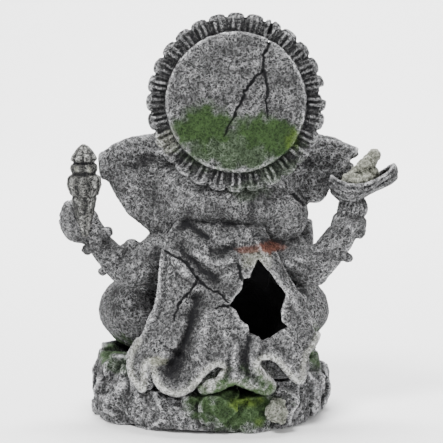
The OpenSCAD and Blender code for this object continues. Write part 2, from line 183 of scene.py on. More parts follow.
def cells(p, size, seed=0):
    """Distance to the nearest and second nearest random point, and the nearest one's number."""
    q = np.asarray(p, np.float64) / size + seed * 7.31 + 50.0
    cell = np.floor(q).astype(np.int64)
    best = np.full(len(q), 9.0)
    second = np.full(len(q), 9.0)
    mark = np.zeros(len(q))
    for dx in (-1, 0, 1):
        for dy in (-1, 0, 1):
            for dz in (-1, 0, 1):
                c = cell + (dx, dy, dz)
                h = _perm[_perm[_perm[c[:, 0] & 255] + (c[:, 1] & 255)] + (c[:, 2] & 255)]
                spot = c + np.stack([_perm[h] / 255, _perm[h + 1] / 255, _perm[h + 2] / 255], 1)
                d = np.linalg.norm(q - spot, axis=1)
                nearer = d < best
                second = np.where(nearer, best, np.minimum(second, d))
                mark = np.where(nearer, _perm[h + 3] / 255, mark)
                best = np.minimum(best, d)
    return best, second, mark


# ---- Distance fields on one shared lattice ----


def smooth_step(a, b, x):
    t = np.clip((x - a) / (b - a), 0.0, 1.0)
    return t * t * (3 - 2 * t)


def blurred(a, sigma):
    """Gaussian blur of a 3-D array, sigma in voxels."""
    r = max(1, int(math.ceil(2.4 * sigma)))
    w = np.exp(-0.5 * (np.arange(-r, r + 1) / sigma) ** 2)
    w = (w / w.sum()).astype(np.float32)
    for axis in range(3):
        padded = np.pad(a, [(r, r) if i == axis else (0, 0) for i in range(3)], mode="edge")
        out = np.zeros_like(a)
        for i, k in enumerate(w):
            part = [slice(None)] * 3
            part[axis] = slice(i, i + a.shape[axis])
            out += k * padded[tuple(part)]
        a = out
    return a


def merge(a, b, k):
    """Union of two fields with a fillet of about k."""
    t = np.clip(0.5 + 0.5 * (b - a) / k, 0.0, 1.0)
    return b + (a - b) * t - k * t * (1 - t)


class Field:
    """Distance to a surface, negative inside, on a box of lattice points step apart."""

    def __init__(self, lo, data, step=VOXEL):
        self.lo = np.asarray(lo, int)
        self.data = data
        self.step = step

    def window(self, lo, shape):
        out = np.full(shape, BAND, np.float32)
        a = np.maximum(lo, self.lo)
        b = np.minimum(np.add(lo, shape), self.lo + self.data.shape)
        if (b > a).all():
            dst = tuple(slice(*x) for x in zip(a - lo, b - lo))
            src = tuple(slice(*x) for x in zip(a - self.lo, b - self.lo))
            out[dst] = self.data[src]
        return out

    def change(self, shape, sign, k):
        """Adds a shape, or cuts it if sign is -1: its low corner, high corner and distance."""
        low, high, distance = shape
        a = np.maximum(np.floor(np.subtract(low, k + 1) / self.step).astype(int), self.lo)
        b = np.minimum(np.ceil(np.add(high, k + 1) / self.step).astype(int),
                       self.lo + self.data.shape)
        if (b <= a).any():
            return
        axes = [np.arange(a[i], b[i], dtype=np.float32) * self.step for i in range(3)]
        x, y, z = np.meshgrid(*axes, indexing="ij", sparse=True)
        d = distance(x, y, z).astype(np.float32)
        part = tuple(slice(*s) for s in zip(a - self.lo, b - self.lo))
        self.data[part] = sign * merge(sign * self.data[part], d, k)

    def add(self, shape, k=0.6):
        self.change(shape, 1, k)

    def cut(self, shape, k=0.6):
        self.change(shape, -1, k)


def at(x, y, z):
    """A place given from the figure's leaning axis, in the row frame."""
    return np.array([x + LEAN * z, y, z], float)


def capsule(a, b, ra, rb):
    """A round bar from a to b with its own radius at each end."""
    a, b = np.asarray(a, float), np.asarray(b, float)
    v = b - a
    big = max(ra, rb)

    def distance(x, y, z):
        t = ((x - a[0]) * v[0] + (y - a[1]) * v[1] + (z - a[2]) * v[2]) / max(v @ v, 1e-9)
        t = np.clip(t, 0, 1)
        return np.sqrt((x - a[0] - t * v[0]) ** 2 + (y - a[1] - t * v[1]) ** 2
                       + (z - a[2] - t * v[2]) ** 2) - (ra + (rb - ra) * t)

    return np.minimum(a, b) - big, np.maximum(a, b) + big, distance


def blob(c, r, tilt=0.0):
    """An ellipsoid with radii r, tilted by an angle in degrees about the y axis."""
    c, r = np.asarray(c, float), np.asarray(r, float)
    cos, sin = math.cos(math.radians(tilt)), math.sin(math.radians(tilt))
    reach = r.max()

    def distance(x, y, z):
        x, y, z = x - c[0], y - c[1], z - c[2]
        u = ((cos * x - sin * z) / r[0], y / r[1], (sin * x + cos * z) / r[2])
        k = np.sqrt(u[0] ** 2 + u[1] ** 2 + u[2] ** 2)
        g = np.sqrt((u[0] / r[0]) ** 2 + (u[1] / r[1]) ** 2 + (u[2] / r[2]) ** 2)
        return k * (k - 1) / np.maximum(g, 1e-6)

    return c - reach, c + reach, distance


def facets(c, r, rng, count):
    """A broken chunk: the space between flat faces at random angles round c, about r away."""
    c = np.asarray(c, float)
    out = rng.normal(size=(count, 3))
    out /= np.linalg.norm(out, axis=1)[:, None]
    out = np.concatenate([out, [(0, 0, 1), (1, 0, 0), (-1, 0, 0), (0, 1, 0), (0, -1, 0)]])
    away = r * rng.uniform(0.75, 1.0, len(out))
    away[count:] *= 1.15

    def distance(x, y, z):
        x, y, z = x - c[0], y - c[1], z - c[2]
        best = -1e9
        for (a, b, d), off in zip(out, away):
            best = np.maximum(best, a * x + b * y + d * z - off)
        return best

    return c - 1.4 * r, c + 1.4 * r, distance


def lathe(a, b, profile):
    """A turned solid along the line from a to b, from a list of heights and radii."""
    a, b = np.asarray(a, float), np.asarray(b, float)
    w = (b - a) / np.linalg.norm(b - a)
    heights, radii = np.array(profile).T
    reach = radii.max()
    ends = np.stack([a + w * heights[0], a + w * heights[-1]])

    def distance(x, y, z):
        x, y, z = x - a[0], y - a[1], z - a[2]
        h = x * w[0] + y * w[1] + z * w[2]
        out = np.sqrt(np.maximum(x * x + y * y + z * z - h * h, 0))
        side = 0.85 * (out - np.interp(h, heights, radii))
        return np.maximum(side, np.maximum(heights[0] - h, h - heights[-1]))

    return ends.min(0) - reach, ends.max(0) + reach, distance


def band(c, d, ring, thick, flat=1.0):
    """A ring round the axis d through c; flat stretches its section along the axis."""
    c = np.asarray(c, float)
    d = np.asarray(d, float) / np.linalg.norm(d)
    reach = ring + thick * max(1.0, flat)

    def distance(x, y, z):
        x, y, z = x - c[0], y - c[1], z - c[2]
        along = x * d[0] + y * d[1] + z * d[2]
        out = np.sqrt(np.maximum(x * x + y * y + z * z - along * along, 0))
        return np.sqrt((out - ring) ** 2 + (along / flat) ** 2) - thick

    return c - reach, c + reach, distance


def prism(outline, y0, y1):
    """Everything between y0 and y1 inside an outline of (x, z) places."""
    outline = np.asarray(outline, float)
    low = np.array([outline[:, 0].min(), y0, outline[:, 1].min()])
    high = np.array([outline[:, 0].max(), y1, outline[:, 1].max()])

    def distance(x, y, z):
        best = 1e9
        inside = False
        for a, b in zip(outline, np.roll(outline, -1, axis=0)):
            w = b - a
            t = np.clip(((x - a[0]) * w[0] + (z - a[1]) * w[1]) / (w @ w), 0, 1)
            best = np.minimum(best, (x - a[0] - t * w[0]) ** 2 + (z - a[1] - t * w[1]) ** 2)
            spans = (a[1] > z) != (b[1] > z)
            cross = a[0] + (z - a[1]) * w[0] / (w[1] if abs(w[1]) > 1e-9 else 1e-9)
            inside = inside ^ (spans & (x < cross))
        side = np.where(inside, -np.sqrt(best), np.sqrt(best))
        return np.maximum(side, np.maximum(y0 - y, y - y1))

    return low, high, distance


def mesh_field(points, tris, soft, step=VOXEL):
    """The field of a closed mesh, rounded over by a blur of the given size."""
    grid = vdb.FloatGrid.createLevelSetFromPolygons(
        np.ascontiguousarray(points, np.float32),
        triangles=np.ascontiguousarray(tris, np.uint32),
        transform=vdb.createLinearTransform(step),
        exBandWidth=BAND / step, inBandWidth=BAND / step)
    margin = int(math.ceil(5.5 / step))
    lo = np.floor(points.min(0) / step).astype(int) - margin
    hi = np.ceil(points.max(0) / step).astype(int) + margin
    data = np.empty(tuple(hi - lo + 1), np.float32)
    grid.copyToArray(data, ijk=tuple(int(v) for v in lo))
    data = np.clip(data, -BAND, BAND)
    if soft > 0:
        data = blurred(data, soft / step)
    return Field(lo, data, step)


def node_mesh(name):
    """A CAD node's vertices in millimetres and its triangles."""
    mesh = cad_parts[name].data
    mesh.calc_loop_triangles()
    co = np.empty(len(mesh.vertices) * 3, np.float32)
    mesh.vertices.foreach_get("co", co)
    tri = np.empty(len(mesh.loop_triangles) * 3, np.int32)
    mesh.loop_triangles.foreach_get("vertices", tri)
    return co.reshape(-1, 3).astype(np.float64) * 1000.0, tri.reshape(-1, 3)


_fields = {}


def node_field(name, soft=1.5, step=VOXEL):
    """A CAD node's field, rounded over by soft. Each is made once and isn't changed."""
    key = (name, soft, step)
    if key not in _fields:
        _fields[key] = mesh_field(*node_mesh(name), soft, step)
    return _fields[key]


def empty_field(name):
    """A field with nothing in it yet, over a CAD node's own box."""
    own = node_field(name, 0.3, FINE)
    return Field(own.lo, np.full(own.data.shape, BAND, np.float32), FINE)


# ---- From a field to a finished piece ----


def sample(field, p):
    """The field's value at places p, read between lattice points."""
    q = p / field.step - field.lo
    q = np.clip(q, 0, np.array(field.data.shape) - 1.001)
    i = q.astype(int)
    f = q - i
    out = np.zeros(len(p))
    for dx in (0, 1):
        for dy in (0, 1):
            for dz in (0, 1):
                w = (f[:, 0] if dx else 1 - f[:, 0]) * (f[:, 1] if dy else 1 - f[:, 1])
                w = w * (f[:, 2] if dz else 1 - f[:, 2])
                out += w * field.data[i[:, 0] + dx, i[:, 1] + dy, i[:, 2] + dz]
    return out


def surface(field):
    grid = vdb.FloatGrid(BAND)
    grid.transform = vdb.createLinearTransform(field.step)
    grid.copyFromArray(np.ascontiguousarray(field.data), ijk=tuple(int(v) for v in field.lo))
    points, quads = grid.convertToQuads(0.0)
    points = np.asarray(points, np.float64)
    quads = np.asarray(quads, np.int64)
    a, b, c, d = (points[quads[:, i]] for i in range(4))
    volume = np.einsum("ij,ij->", a, np.cross(b, c)) + np.einsum("ij,ij->", a, np.cross(c, d))
    return points, quads if volume > 0 else quads[:, ::-1]


def normals(p, q):
    n = np.cross(p[q[:, 2]] - p[q[:, 0]], p[q[:, 3]] - p[q[:, 1]])
    out = np.zeros_like(p)
    for k in range(4):
        for axis in range(3):
            out[:, axis] += np.bincount(q[:, k], weights=n[:, axis], minlength=len(p))
    return out / np.maximum(np.linalg.norm(out, axis=1), 1e-12)[:, None]


def solid_share(field, size):
    """How full of solid the space within the given size is, 0 to 1."""
    solid = np.clip(0.5 - field.data / (2 * field.step), 0, 1).astype(np.float32)
    return Field(field.lo, blurred(solid, size / field.step), field.step)


def path_distance(p, path):
    """Distance from places p to a bent line, in 2-D or 3-D, and how far along it they are, 0 to 1."""
    path = np.asarray(path, float)
    best = np.full(len(p), 1e9)
    along = np.zeros(len(p))
    lengths = np.linalg.norm(np.diff(path, axis=0), axis=1)
    start = 0.0
    for a, b, size in zip(path[:-1], path[1:], lengths):
        w = b - a
        t = np.clip((p - a) @ w / (w @ w), 0, 1)
        d = np.linalg.norm(p - a - t[:, None] * w, axis=1)
        nearer = d < best
        best = np.where(nearer, d, best)
        along = np.where(nearer, (start + t * size) / lengths.sum(), along)
        start += size
    return best, along


def make_piece(name, nodes, points, quads, marks, material):
    mesh = bpy.data.meshes.new(name)
    mesh.vertices.add(len(points))
    mesh.vertices.foreach_set("co", (points / 1000.0).astype(np.float32).ravel())
    mesh.loops.add(4 * len(quads))
    mesh.loops.foreach_set("vertex_index", quads.astype(np.int32).ravel())
    mesh.polygons.add(len(quads))
    mesh.polygons.foreach_set("loop_start", np.arange(0, 4 * len(quads), 4, dtype=np.int32))
    mesh.update(calc_edges=True)
    mesh.polygons.foreach_set("use_smooth", np.ones(len(quads), bool))
    for key, values in marks.items():
        layer = mesh.attributes.new(key, "FLOAT", "POINT")
        layer.data.foreach_set("value", np.clip(values, 0, 1).astype(np.float32))
    mesh.validate()
    piece = new_object(name, mesh)
    mesh.materials.append(material)
    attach(piece, "root")
    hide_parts(*nodes)


# ---- Materials ----


def stone_material(name, tone, warmth):
    """Cast stone: dark wash in the pits and painted shade in recesses, light on the raised net and
    edges with some painted highlights, near-black painted shade in the cave, moss and stains.
    """
    mat = bpy.data.materials.new(name)
    mat.use_nodes = True
    tree = mat.node_tree
    shader = tree.nodes["Principled BSDF"]
    shader.inputs["Roughness"].default_value = 0.86
    shader.inputs["Specular IOR Level"].default_value = 0.25

    def new(kind, **inputs):
        made = tree.nodes.new(kind)
        for key, value in inputs.items():
            made.inputs[key].default_value = value
        return made

    def math_node(op, a, b=None, c=None, clamp=False):
        made = tree.nodes.new("ShaderNodeMath")
        made.operation = op
        made.use_clamp = clamp
        for i, v in enumerate((a, b, c)):
            if v is None:
                continue
            if isinstance(v, (int, float)):
                made.inputs[i].default_value = v
            else:
                tree.links.new(v, made.inputs[i])
        return made.outputs[0]

    def mark(key):
        made = tree.nodes.new("ShaderNodeAttribute")
        made.attribute_name = key
        return made.outputs["Fac"]

    def mixed(factor, a, b):
        made = tree.nodes.new("ShaderNodeMix")
        made.data_type = "RGBA"
        sockets = [s for s in made.inputs if s.type == "RGBA"]
        tree.links.new(factor, made.inputs[0])
        for s, v in zip(sockets, (a, b)):
            if isinstance(v, tuple):
                s.default_value = v
            else:
                tree.links.new(v, s)
        return [s for s in made.outputs if s.type == "RGBA"][0]

    place = tree.nodes.new("ShaderNodeTexCoord").outputs["Object"]

    def texture(scale, detail=1.0, distortion=0.0):
        tex = new("ShaderNodeTexNoise", Scale=scale, Detail=detail, Roughness=0.55,
                  Distortion=distortion)
        tree.links.new(place, tex.inputs["Vector"])
        return tex.outputs["Fac"]

    def specks(scale, low, high):
        """Noise stretched so that below low is a pit, 0, and above high is raised, 1."""
        spread = math_node("SUBTRACT", texture(scale), low)
        return math_node("MULTIPLY", spread, 1.0 / (high - low), clamp=True)

    def veins(scale, width):
        """Thin winding lines, 1 along each line."""
        off = math_node("ABSOLUTE", math_node("SUBTRACT", texture(scale, 1.5, 0.5), 0.5))
        return math_node("MULTIPLY_ADD", off, -1.0 / width, 1.0, clamp=True)

    second = math_node("MULTIPLY", veins(820.0, 0.095), 0.75)
    net = math_node("MAXIMUM", veins(480.0, 0.08), second)
    patches = specks(130.0, 0.36, 0.62)
    fine = specks(1250.0, 0.36, 0.64)
    brushed = math_node("MULTIPLY", net, math_node("MULTIPLY_ADD", patches, 0.35, 0.65))

    light = math_node("MULTIPLY_ADD", mark("relief"), 0.14, 0.05)
    light = math_node("MULTIPLY_ADD", brushed, 0.58, light)
    light = math_node("MULTIPLY_ADD", fine, 0.19, light)
    # The "edge" mark: dry-brushed light on raised edges, plus painted highlights on fold ridges, hem
    # rims and flute crests.
    light = math_node("MULTIPLY_ADD", mark("edge"), 0.36, light)
    # The "hollow" mark: dark wash in the pits, plus painted shade in recesses, folds, creases and
    # under overhangs.
    light = math_node("MULTIPLY_ADD", mark("hollow"), -0.62, light, clamp=True)

    ramp = tree.nodes.new("ShaderNodeValToRGB")
    stops = ramp.color_ramp.elements
    stops[0].position, stops[0].color = 0.0, (0.007, 0.007, 0.0085, 1)
    stops[1].position, stops[1].color = 1.0, tuple(min(1.0, 0.60 * tone * w) for w in warmth) + (1,)
    for level, value in ((0.2, 0.018), (0.4, 0.048), (0.6, 0.118), (0.8, 0.26)):
        stop = stops.new(level)
        stop.color = tuple(min(1.0, value * tone * w) for w in warmth) + (1,)
    tree.links.new(light, ramp.inputs["Fac"])

    def tinted(key, dark, bright, base):
        ends = mixed(light, dark, bright)
        return mixed(mark(key), base, ends)

    colour = ramp.outputs["Color"]
    colour = tinted("cream", (0.022, 0.024, 0.016, 1), (0.48, 0.49, 0.38, 1), colour)
    colour = tinted("rust", (0.008, 0.003, 0.002, 1), (0.15, 0.045, 0.024, 1), colour)
    colour = tinted("moss", (0.0025, 0.007, 0.0012, 1), (0.040, 0.082, 0.022, 1), colour)
    colour = tinted("bright_moss", (0.008, 0.020, 0.002, 1), (0.15, 0.23, 0.018, 1), colour)
    # Painted shade: near black where the "inside" mark is, in the cave and under the cloak.
    colour = mixed(mark("inside"), colour, (0.006, 0.006, 0.007, 1))
    tree.links.new(colour, shader.inputs["Base Color"])

    height = math_node("MULTIPLY_ADD", net, 0.7, math_node("MULTIPLY", fine, 0.3))
    bump = new("ShaderNodeBump", Strength=0.8, Distance=0.00028)
    tree.links.new(height, bump.inputs["Height"])
    tree.links.new(bump.outputs["Normal"], shader.inputs["Normal"])
    return mat


# ---- How pieces are finished ----


def grain(p, seed, size=1.0):
    """The cast stone's grain: its height, about -1 to 1, and how light its paint is, 0 to 1."""
    pits = smooth_step(0.08, 0.46, noise(p, 1.35 * size, seed))
    small = smooth_step(0.12, 0.50, noise(p, 1.0 * size, seed + 5))
    net = ridges(p, 2.0 * size, seed + 1)
    broad = noise(p, 5.5 * size, seed + 2)
    height = 0.42 * net - 1.0 * pits - 0.45 * small + 0.3 * broad
    tone = 0.60 + 0.26 * net - 0.58 * pits - 0.34 * small + 0.10 * broad
    return height, np.clip(tone, 0, 1)


def everything(step):
    """One coarse field of the whole figure, for the painted shade in its hollows."""
    lo = np.floor(CAD_LOW / step).astype(int) - 4
    shape = tuple(np.ceil(CAD_HIGH / step).astype(int) + 5 - lo)
    data = np.full(shape, BAND, np.float32)
    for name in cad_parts:
        data = np.minimum(data, node_field(name, 0, step).window(lo, shape))
    return Field(lo, data, step)


def finish(node, field, name=None, whole=None, depth=0.22, extra=None, seed=0,
           material=None, size=1.0, edges=1.0):
    """Meshes a field, adds the grain and extra(points, normals, marks), and paints the marks."""
    whole = whole or field
    points, quads = surface(field)
    n = normals(points, quads)
    fine = 2 * sample(solid_share(whole, 0.9), points) - 1
    broad = sample(shade_field, points + 1.6 * n)
    height, tone = grain(points, seed, size)
    # "hollow" is the dark wash in small pits (fine) plus painted shade where the figure crowds round
    # a place (broad).
    marks = {"relief": tone,
             "edge": np.clip(-2.4 * edges * fine, 0, 1),
             "hollow": np.clip(1.7 * fine, 0, 1) + np.clip((broad - 0.40) * 2.8, 0, 1)}
    for key in ("moss", "bright_moss", "cream", "rust", "inside"):
        marks[key] = np.zeros(len(points))
    paint_stains_and_shade(points, n, marks)
    move = depth * height
    if extra:
        move = move + extra(points, n, marks)
    points = points + n * move[:, None]
    points = np.clip(points, CAD_LOW - (0.4, 0.4, 0.0), CAD_HIGH + 0.4)
    make_piece(name or node + "_cast", [node], points, quads, marks, material or stone)


_body = {}
FILLET = 3.4
# How far a piece reaches past the place where its neighbour is as near
SEAM = 0.35
# Dark gaps between a rear arm, the knee under it and the cloak: centre and radii
DENTS = [((31.5, -19, 49), (4.6, 7, 3.8)), ((-24, -20, 50.5), (4.0, 6, 2.6))]


def sculpt(name, soft, detail):
    """A part of the figure, with its modelled details, before it is blended with the others."""
    own = node_field(name, soft)
    _body[name] = Field(own.lo, own.data.copy())
    if detail:
        detail(_body[name])


def body_piece(node, **kw):
    """Blends a part of the figure into its neighbours and keeps its own share of the surface."""
    mine = _body[node]
    lo, shape = mine.lo, mine.data.shape
    joined = mine.data.copy()
    others = np.full(shape, BAND, np.float32)
    for other, field in _body.items():
        if other != node:
            w = field.window(lo, shape)
            if w.min() < BAND - 0.5:
                joined = merge(joined, w, FILLET)
                others = np.minimum(others, w)
    whole = Field(lo, joined)
    for centre, radii in DENTS:
        whole.cut(blob(at(*centre), radii), 1.5)
    piece = np.maximum(whole.data, mine.data - others - SEAM)
    finish(node, Field(lo, piece), whole=whole, **kw)


# ---- Stains and painted shade: paint, centre, radii and strength ----

HALO = at(0, 0, 125.6) + (0, -24, 0)
HALO_TILT = math.radians(8)
HALO_UP = np.array([0, math.sin(HALO_TILT), math.cos(HALO_TILT)])
HALO_OUT = np.array([0, -math.cos(HALO_TILT), math.sin(HALO_TILT)])


def on_halo(u, v):
    return HALO + u * np.array([1, 0, 0]) + v * HALO_UP


STAINS_AND_SHADE = [
    ("moss", on_halo(-12, -10), (13, 4, 10), 1.0),
    ("moss", on_halo(13, -13), (15, 4, 9.5), 1.0),
    ("moss", on_halo(0, -17), (25, 4, 11), 0.75),
    ("bright_moss", on_halo(22, -14.5), (3.5, 3, 5), 0.35),
    ("moss", on_halo(17, -27), (14, 8, 7), 0.4),
    ("cream", on_halo(-27, -15), (6, 6, 6), 0.3),
    ("moss", (-40, -10, 26), (11, 14, 7), 0.9),
    ("moss", (-33, -20, 22), (10, 14, 4), 0.5),
    ("moss", (44, -10, 26), (12, 15, 9), 0.85),
    ("moss", (12, -42, 12), (20, 12, 13), 0.95),
    ("bright_moss", (15, -45, 12.5), (8, 8, 3), 0.5),
    ("bright_moss", (21, -47, 4), (6, 6, 3.5), 0.3),
    ("moss", (16, -22, 92), (9, 8, 5), 0.4),
    ("moss", (-12, 36, 16), (12, 14, 8), 0.8),
    ("moss", (30, 30, 18), (12, 14, 8), 0.8),
    ("bright_moss", (-8, 44, 15), (8, 6, 5), 0.4),
    ("rust", (24, -22, 69.3), (7.5, 9, 2.7), 0.9),
    ("rust", (16, -27, 68.8), (5.5, 6, 1.6), 0.7),
    ("cream", (18, -27, 64.5), (7, 6, 5), 0.35),
    ("cream", (-19, -40, 27.5), (4.5, 8, 2.2), 0.6),
    # The "hollow" rows are painted shade: in pockets and recesses between the parts, and softly over
    # the nape and the left rear arm.
    ("hollow", at(-29, -15, 50.5), (10, 9, 3.2), 0.6),
    ("hollow", (37, -19, 48), (6.5, 8, 4.6), 0.9),
    ("hollow", (-12.5, -40, 24.5), (4.2, 9, 4.5), 0.45),
    ("hollow", at(-2, -22, 84), (15, 9, 6), 0.12),
    ("hollow", (-46, -18, 68), (12, 12, 7), 0.15),
    ("hollow", at(26, -20, 30), (6, 8, 6), 0.35),
]


# Painted shade in soft creases on the back and under the nape's overhang, in x and z: path, width and
# strength
SHADES = [([(-11.5, 75), (-8.4, 79.0), (3.7, 79.6), (14.8, 78.9), (17.8, 76)], 1.3, 0.42),
          ([(17.6, 76.0), (20, 73.2), (23.7, 71.3), (31, 70.4)], 1.2, 0.6),
          ([(-6.0, 87), (-7.4, 81.4), (-10.3, 76.3), (-14.5, 71.5)], 1.8, 0.32),
          ([(17.4, 88), (16.8, 81), (17.6, 77)], 1.8, 0.38),
          ([(-19.5, 70), (-21, 60), (-22, 51)], 2.0, 0.45),
          ([(-22.5, 47.5), (-33, 49.5), (-40, 47)], 1.3, 0.4),
          ([(-37, 45), (-38, 38), (-36, 33)], 1.0, 0.3)]


def shade(p, n, marks):
    """Paints shade into the creases on faces that look back."""
    spots = np.flatnonzero((n[:, 1] < 0.4) & (p[:, 1] < -2))
    if len(spots) == 0:
        return
    flat = p[spots][:, [0, 2]] + 0.5 * wobble(p[spots], 2.5, 33, 34)
    for path, width, strength in SHADES:
        d, along = path_distance(flat, path)
        ends = smooth_step(0, 0.12, along) * smooth_step(1, 0.88, along)
        marks["hollow"][spots] += strength * groove(d, width) * ends


def paint_stains_and_shade(p, n, marks):
    shade(p, n, marks)
    for key, centre, radii, strength in STAINS_AND_SHADE:
        reach = np.linalg.norm((p - centre) / radii, axis=1)
        spots = np.flatnonzero(reach < 1.6)
        if len(spots) == 0:
            continue
        ragged = reach[spots] + 0.30 * noise(p[spots], 4.5, 31) + 0.18 * noise(p[spots], 1.9, 32)
        value = strength * smooth_step(1.12, 0.55, ragged)
        marks[key][spots] = np.maximum(marks[key][spots], value)


def groove(d, width):
    """How deep inside a line of the given width a place is, 0 to 1."""
    return np.exp(-(d / width) ** 2)


def darken(marks, amount):
    marks["hollow"] = np.clip(marks["hollow"] + amount, 0, 1.4)


def lighten(marks, amount, keep=1.0):
    """Adds light paint to a share of what is there."""
    marks["edge"] = np.clip(keep * marks["edge"] + amount, 0, 1)


def paint_wave(marks, wave, dark, light, keep=1.0):
    """Paints shade where a wave dips below 0 and lightens its crests."""
    darken(marks, dark * np.clip(-wave, 0, 1))
    lighten(marks, light * np.clip(wave, 0, 1), keep)


def crack(p, path, width, depth, marks, seed=0):
    """Carves a ragged crack along a path in the plane p and darkens it. Returns the move."""
    flat = np.c_[p, 0 * p[:, 0]]
    ragged = p + 0.55 * wobble(flat, 1.7, seed + 60, seed + 61)
    d, along = path_distance(ragged, path)
    wide = width * (1.15 - 0.55 * along)
    inside = groove(d, wide)
    lit = groove(d - 1.8 * wide, 0.7 * wide)
    marks["hollow"] = np.maximum(marks["hollow"], 1.6 * inside)
    marks["relief"] = marks["relief"] * (1 - inside)
    marks["edge"] = np.clip(marks["edge"] * (1 - inside) + 0.25 * lit, 0, 1)
    return -depth * inside


# ---- The cave ----

CAVE = [(at(5, -20, 38), np.array([23, 24, 20.5])),
        (at(9, -24, 53), np.array([14, 16, 14]))]


def cave_depth(p):
    """Below 1 inside the hollow of the cave."""
    return np.minimum(*(np.linalg.norm((p - c) / r, axis=1) for c, r in CAVE))


def paint_cave_shade(p, n, marks):
    """Paints shade: darkens the hollow and the way in from the torn hole."""
    distance = prism(MOUTH, -60, 0)[2]
    way_in = smooth_step(2.6, 1.6, distance(*p.T))
    marks["inside"] = np.maximum(smooth_step(1.16, 1.04, cave_depth(p)), way_in)


# ---- Cloak ----

# From the top down: left and right edge from the axis, depth at the middle and at the edges
CLOAK = [(-17, 12, -22.5, -19), (-22.5, 18, -27, -20), (-23.6, 24.5, -31, -22),
         (-23.8, 31.8, -35, -25), (-27.6, 37.4, -39, -28), (-32.6, 38.6, -42, -31),
         (-33, 38.0, -44.2, -34)]
CLOAK_TOP, CLOAK_LOW = 82.0, 15.0
CLOTH = 3.0
# The hem in x and z, from the left edge round its lobes and bays to the right edge
HEM = [(-26.5, 34), (-29.5, 29), (-30, 25), (-29, 21), (-26, 17.5), (-24.5, 17), (-24.5, 23),
       (-24, 26), (-22.5, 27.5), (-20.7, 26), (-19.7, 21.5), (-18, 19), (-15.5, 17.3),
       (-11.5, 16.4), (-6.5, 18.5), (-3, 22.5), (0, 25.7), (3.2, 27.6), (5.7, 27.4),
       (6.8, 25.2), (4.3, 21.7), (0.8, 20.4), (-2, 18.8), (-1.2, 17.4), (4, 18.5), (10.5, 21),
       (16, 19), (22.6, 16.4), (24.8, 18.6), (23, 21.5), (19.5, 25.5), (18.6, 28), (20.8, 29.7),
       (23.5, 30), (27, 28.3), (30, 24.5), (34.5, 19.6), (36.5, 20.5), (36.6, 25),
       (38, 29.5), (41, 32.5), (42.5, 36)]
# Folds in x and z: path, width and depth; a depth below 0 is a ridge
FOLDS = [([(-4.7, 55), (-3.7, 47.6), (-6.6, 40.8), (-8.8, 33.9), (-12.5, 27)], 3.6, 4.2),
         ([(-10, 32), (-13, 24.5), (-12.5, 21.5)], 4.2, 4.6),
         ([(-8, 44), (-10.5, 37), (-14.5, 30.5), (-19, 28)], 1.9, -2.0),
         ([(-1, 50), (-1.0, 40), (-3.0, 33), (-4.5, 27)], 2.4, -2.0),
         ([(-20, 24), (-17.5, 18.5), (-11.5, 17), (-6, 19.5), (-1, 26), (4, 28.5)], 1.8, -2.0),
         ([(4, 27), (8, 33), (7, 40)], 2.6, -1.3),
         ([(7.5, 28), (8, 24), (6, 20)], 1.5, 1.2),
         ([(-1, 19), (5, 20), (10.5, 22.5), (16, 20.5), (24, 18)], 1.6, -1.8),
         ([(10.6, 36), (10.3, 22)], 1.2, -1.8),
         ([(16.5, 39), (14.7, 30), (15.5, 21)], 1.4, 2.6),
         ([(12.6, 37), (12.3, 30), (12.8, 24)], 1.2, 0.9),
         ([(19.5, 36), (17.6, 30), (17.8, 25.5), (22, 20)], 1.5, -2.0),
         ([(19, 29), (23.5, 31.3), (28.5, 28.5), (35.5, 20)], 1.5, -1.8),
         ([(24, 39), (23.5, 34)], 2.4, 1.5),
         ([(29, 38), (32, 30), (35, 25)], 2.6, -1.3),
         ([(-12.0, 73.0), (-7.5, 66.8), (-1.2, 60.6), (6.5, 56.2)], 2.5, 3.2),
         ([(-16.0, 69), (-11.5, 63.5), (-6.0, 58)], 1.5, -1.0),
         ([(-13.2, 73.6), (-7.5, 68.6), (-1.0, 66.0), (6.0, 64.4), (11.5, 66.6)], 1.5, -1.5),
         ([(-10.5, 79.0), (-4.5, 75.9), (2.4, 72.3)], 1.9, 3.2),
         ([(-10.2, 80.8), (-2.0, 76.9), (5.4, 72.9), (9.8, 72.9)], 1.4, -1.5),
         ([(4.4, 76.9), (8.2, 77.2), (11.8, 78.6)], 1.7, 2.0),
         ([(-0.8, 67.3), (6.2, 67.9), (12.4, 70.7)], 2.4, 2.2),
         ([(17.9, 77), (20.5, 69), (25.2, 61), (28.5, 55), (33, 49.5), (37, 41)], 1.4, -1.6),
         ([(-17.0, 69), (-18.6, 58), (-18.8, 50), (-21.5, 42), (-27, 33)], 1.5, -1.8)]
# Cloth that curls back behind the hem's bays: centre and radii
CURLS = [((1.5, -37.0, 22.5), (7.5, 3.5, 5.5)), ((28.0, -33.5, 25.0), (8.0, 3.5, 5.5)),
         ((-22.5, -37.0, 22.0), (3.0, 3.0, 6.0))]
MOUTH = [(19.4, 65.3), (17, 60.5), (16.2, 58.5), (13.8, 58.3), (13.2, 54.5), (10.5, 51.5),
         (8.4, 48.5), (11, 46.5), (12.6, 43.2), (15.7, 41), (16, 38.2), (19.6, 36.9),
         (21.1, 35.2), (24.4, 36.2), (27.8, 38.8), (31, 40), (28.6, 42), (28.2, 45.5),
         (30.3, 51.5), (28.8, 54), (27, 55.6), (24.6, 59.5), (23.1, 61)]
CLOAK_CRACKS = [
    [(-16.4, 67.9), (-13.6, 66.5), (-10.2, 65.6), (-8.2, 64.3), (-6.2, 61.7), (-4.0, 58.9),
     (-4.2, 57.1), (-6.6, 53.5), (-9.5, 50.5), (-11.5, 48.0), (-12.9, 42.8)],
    [(-4.0, 58.9), (-2.3, 57.1), (0.2, 55.0), (4.1, 53.5), (6.5, 51.2), (8.6, 49.6)],
    [(11.8, 63.4), (12.5, 61.4), (13.3, 57.6)],
    [(8.4, 48.5), (5.4, 48.6), (3.4, 47.6)]]


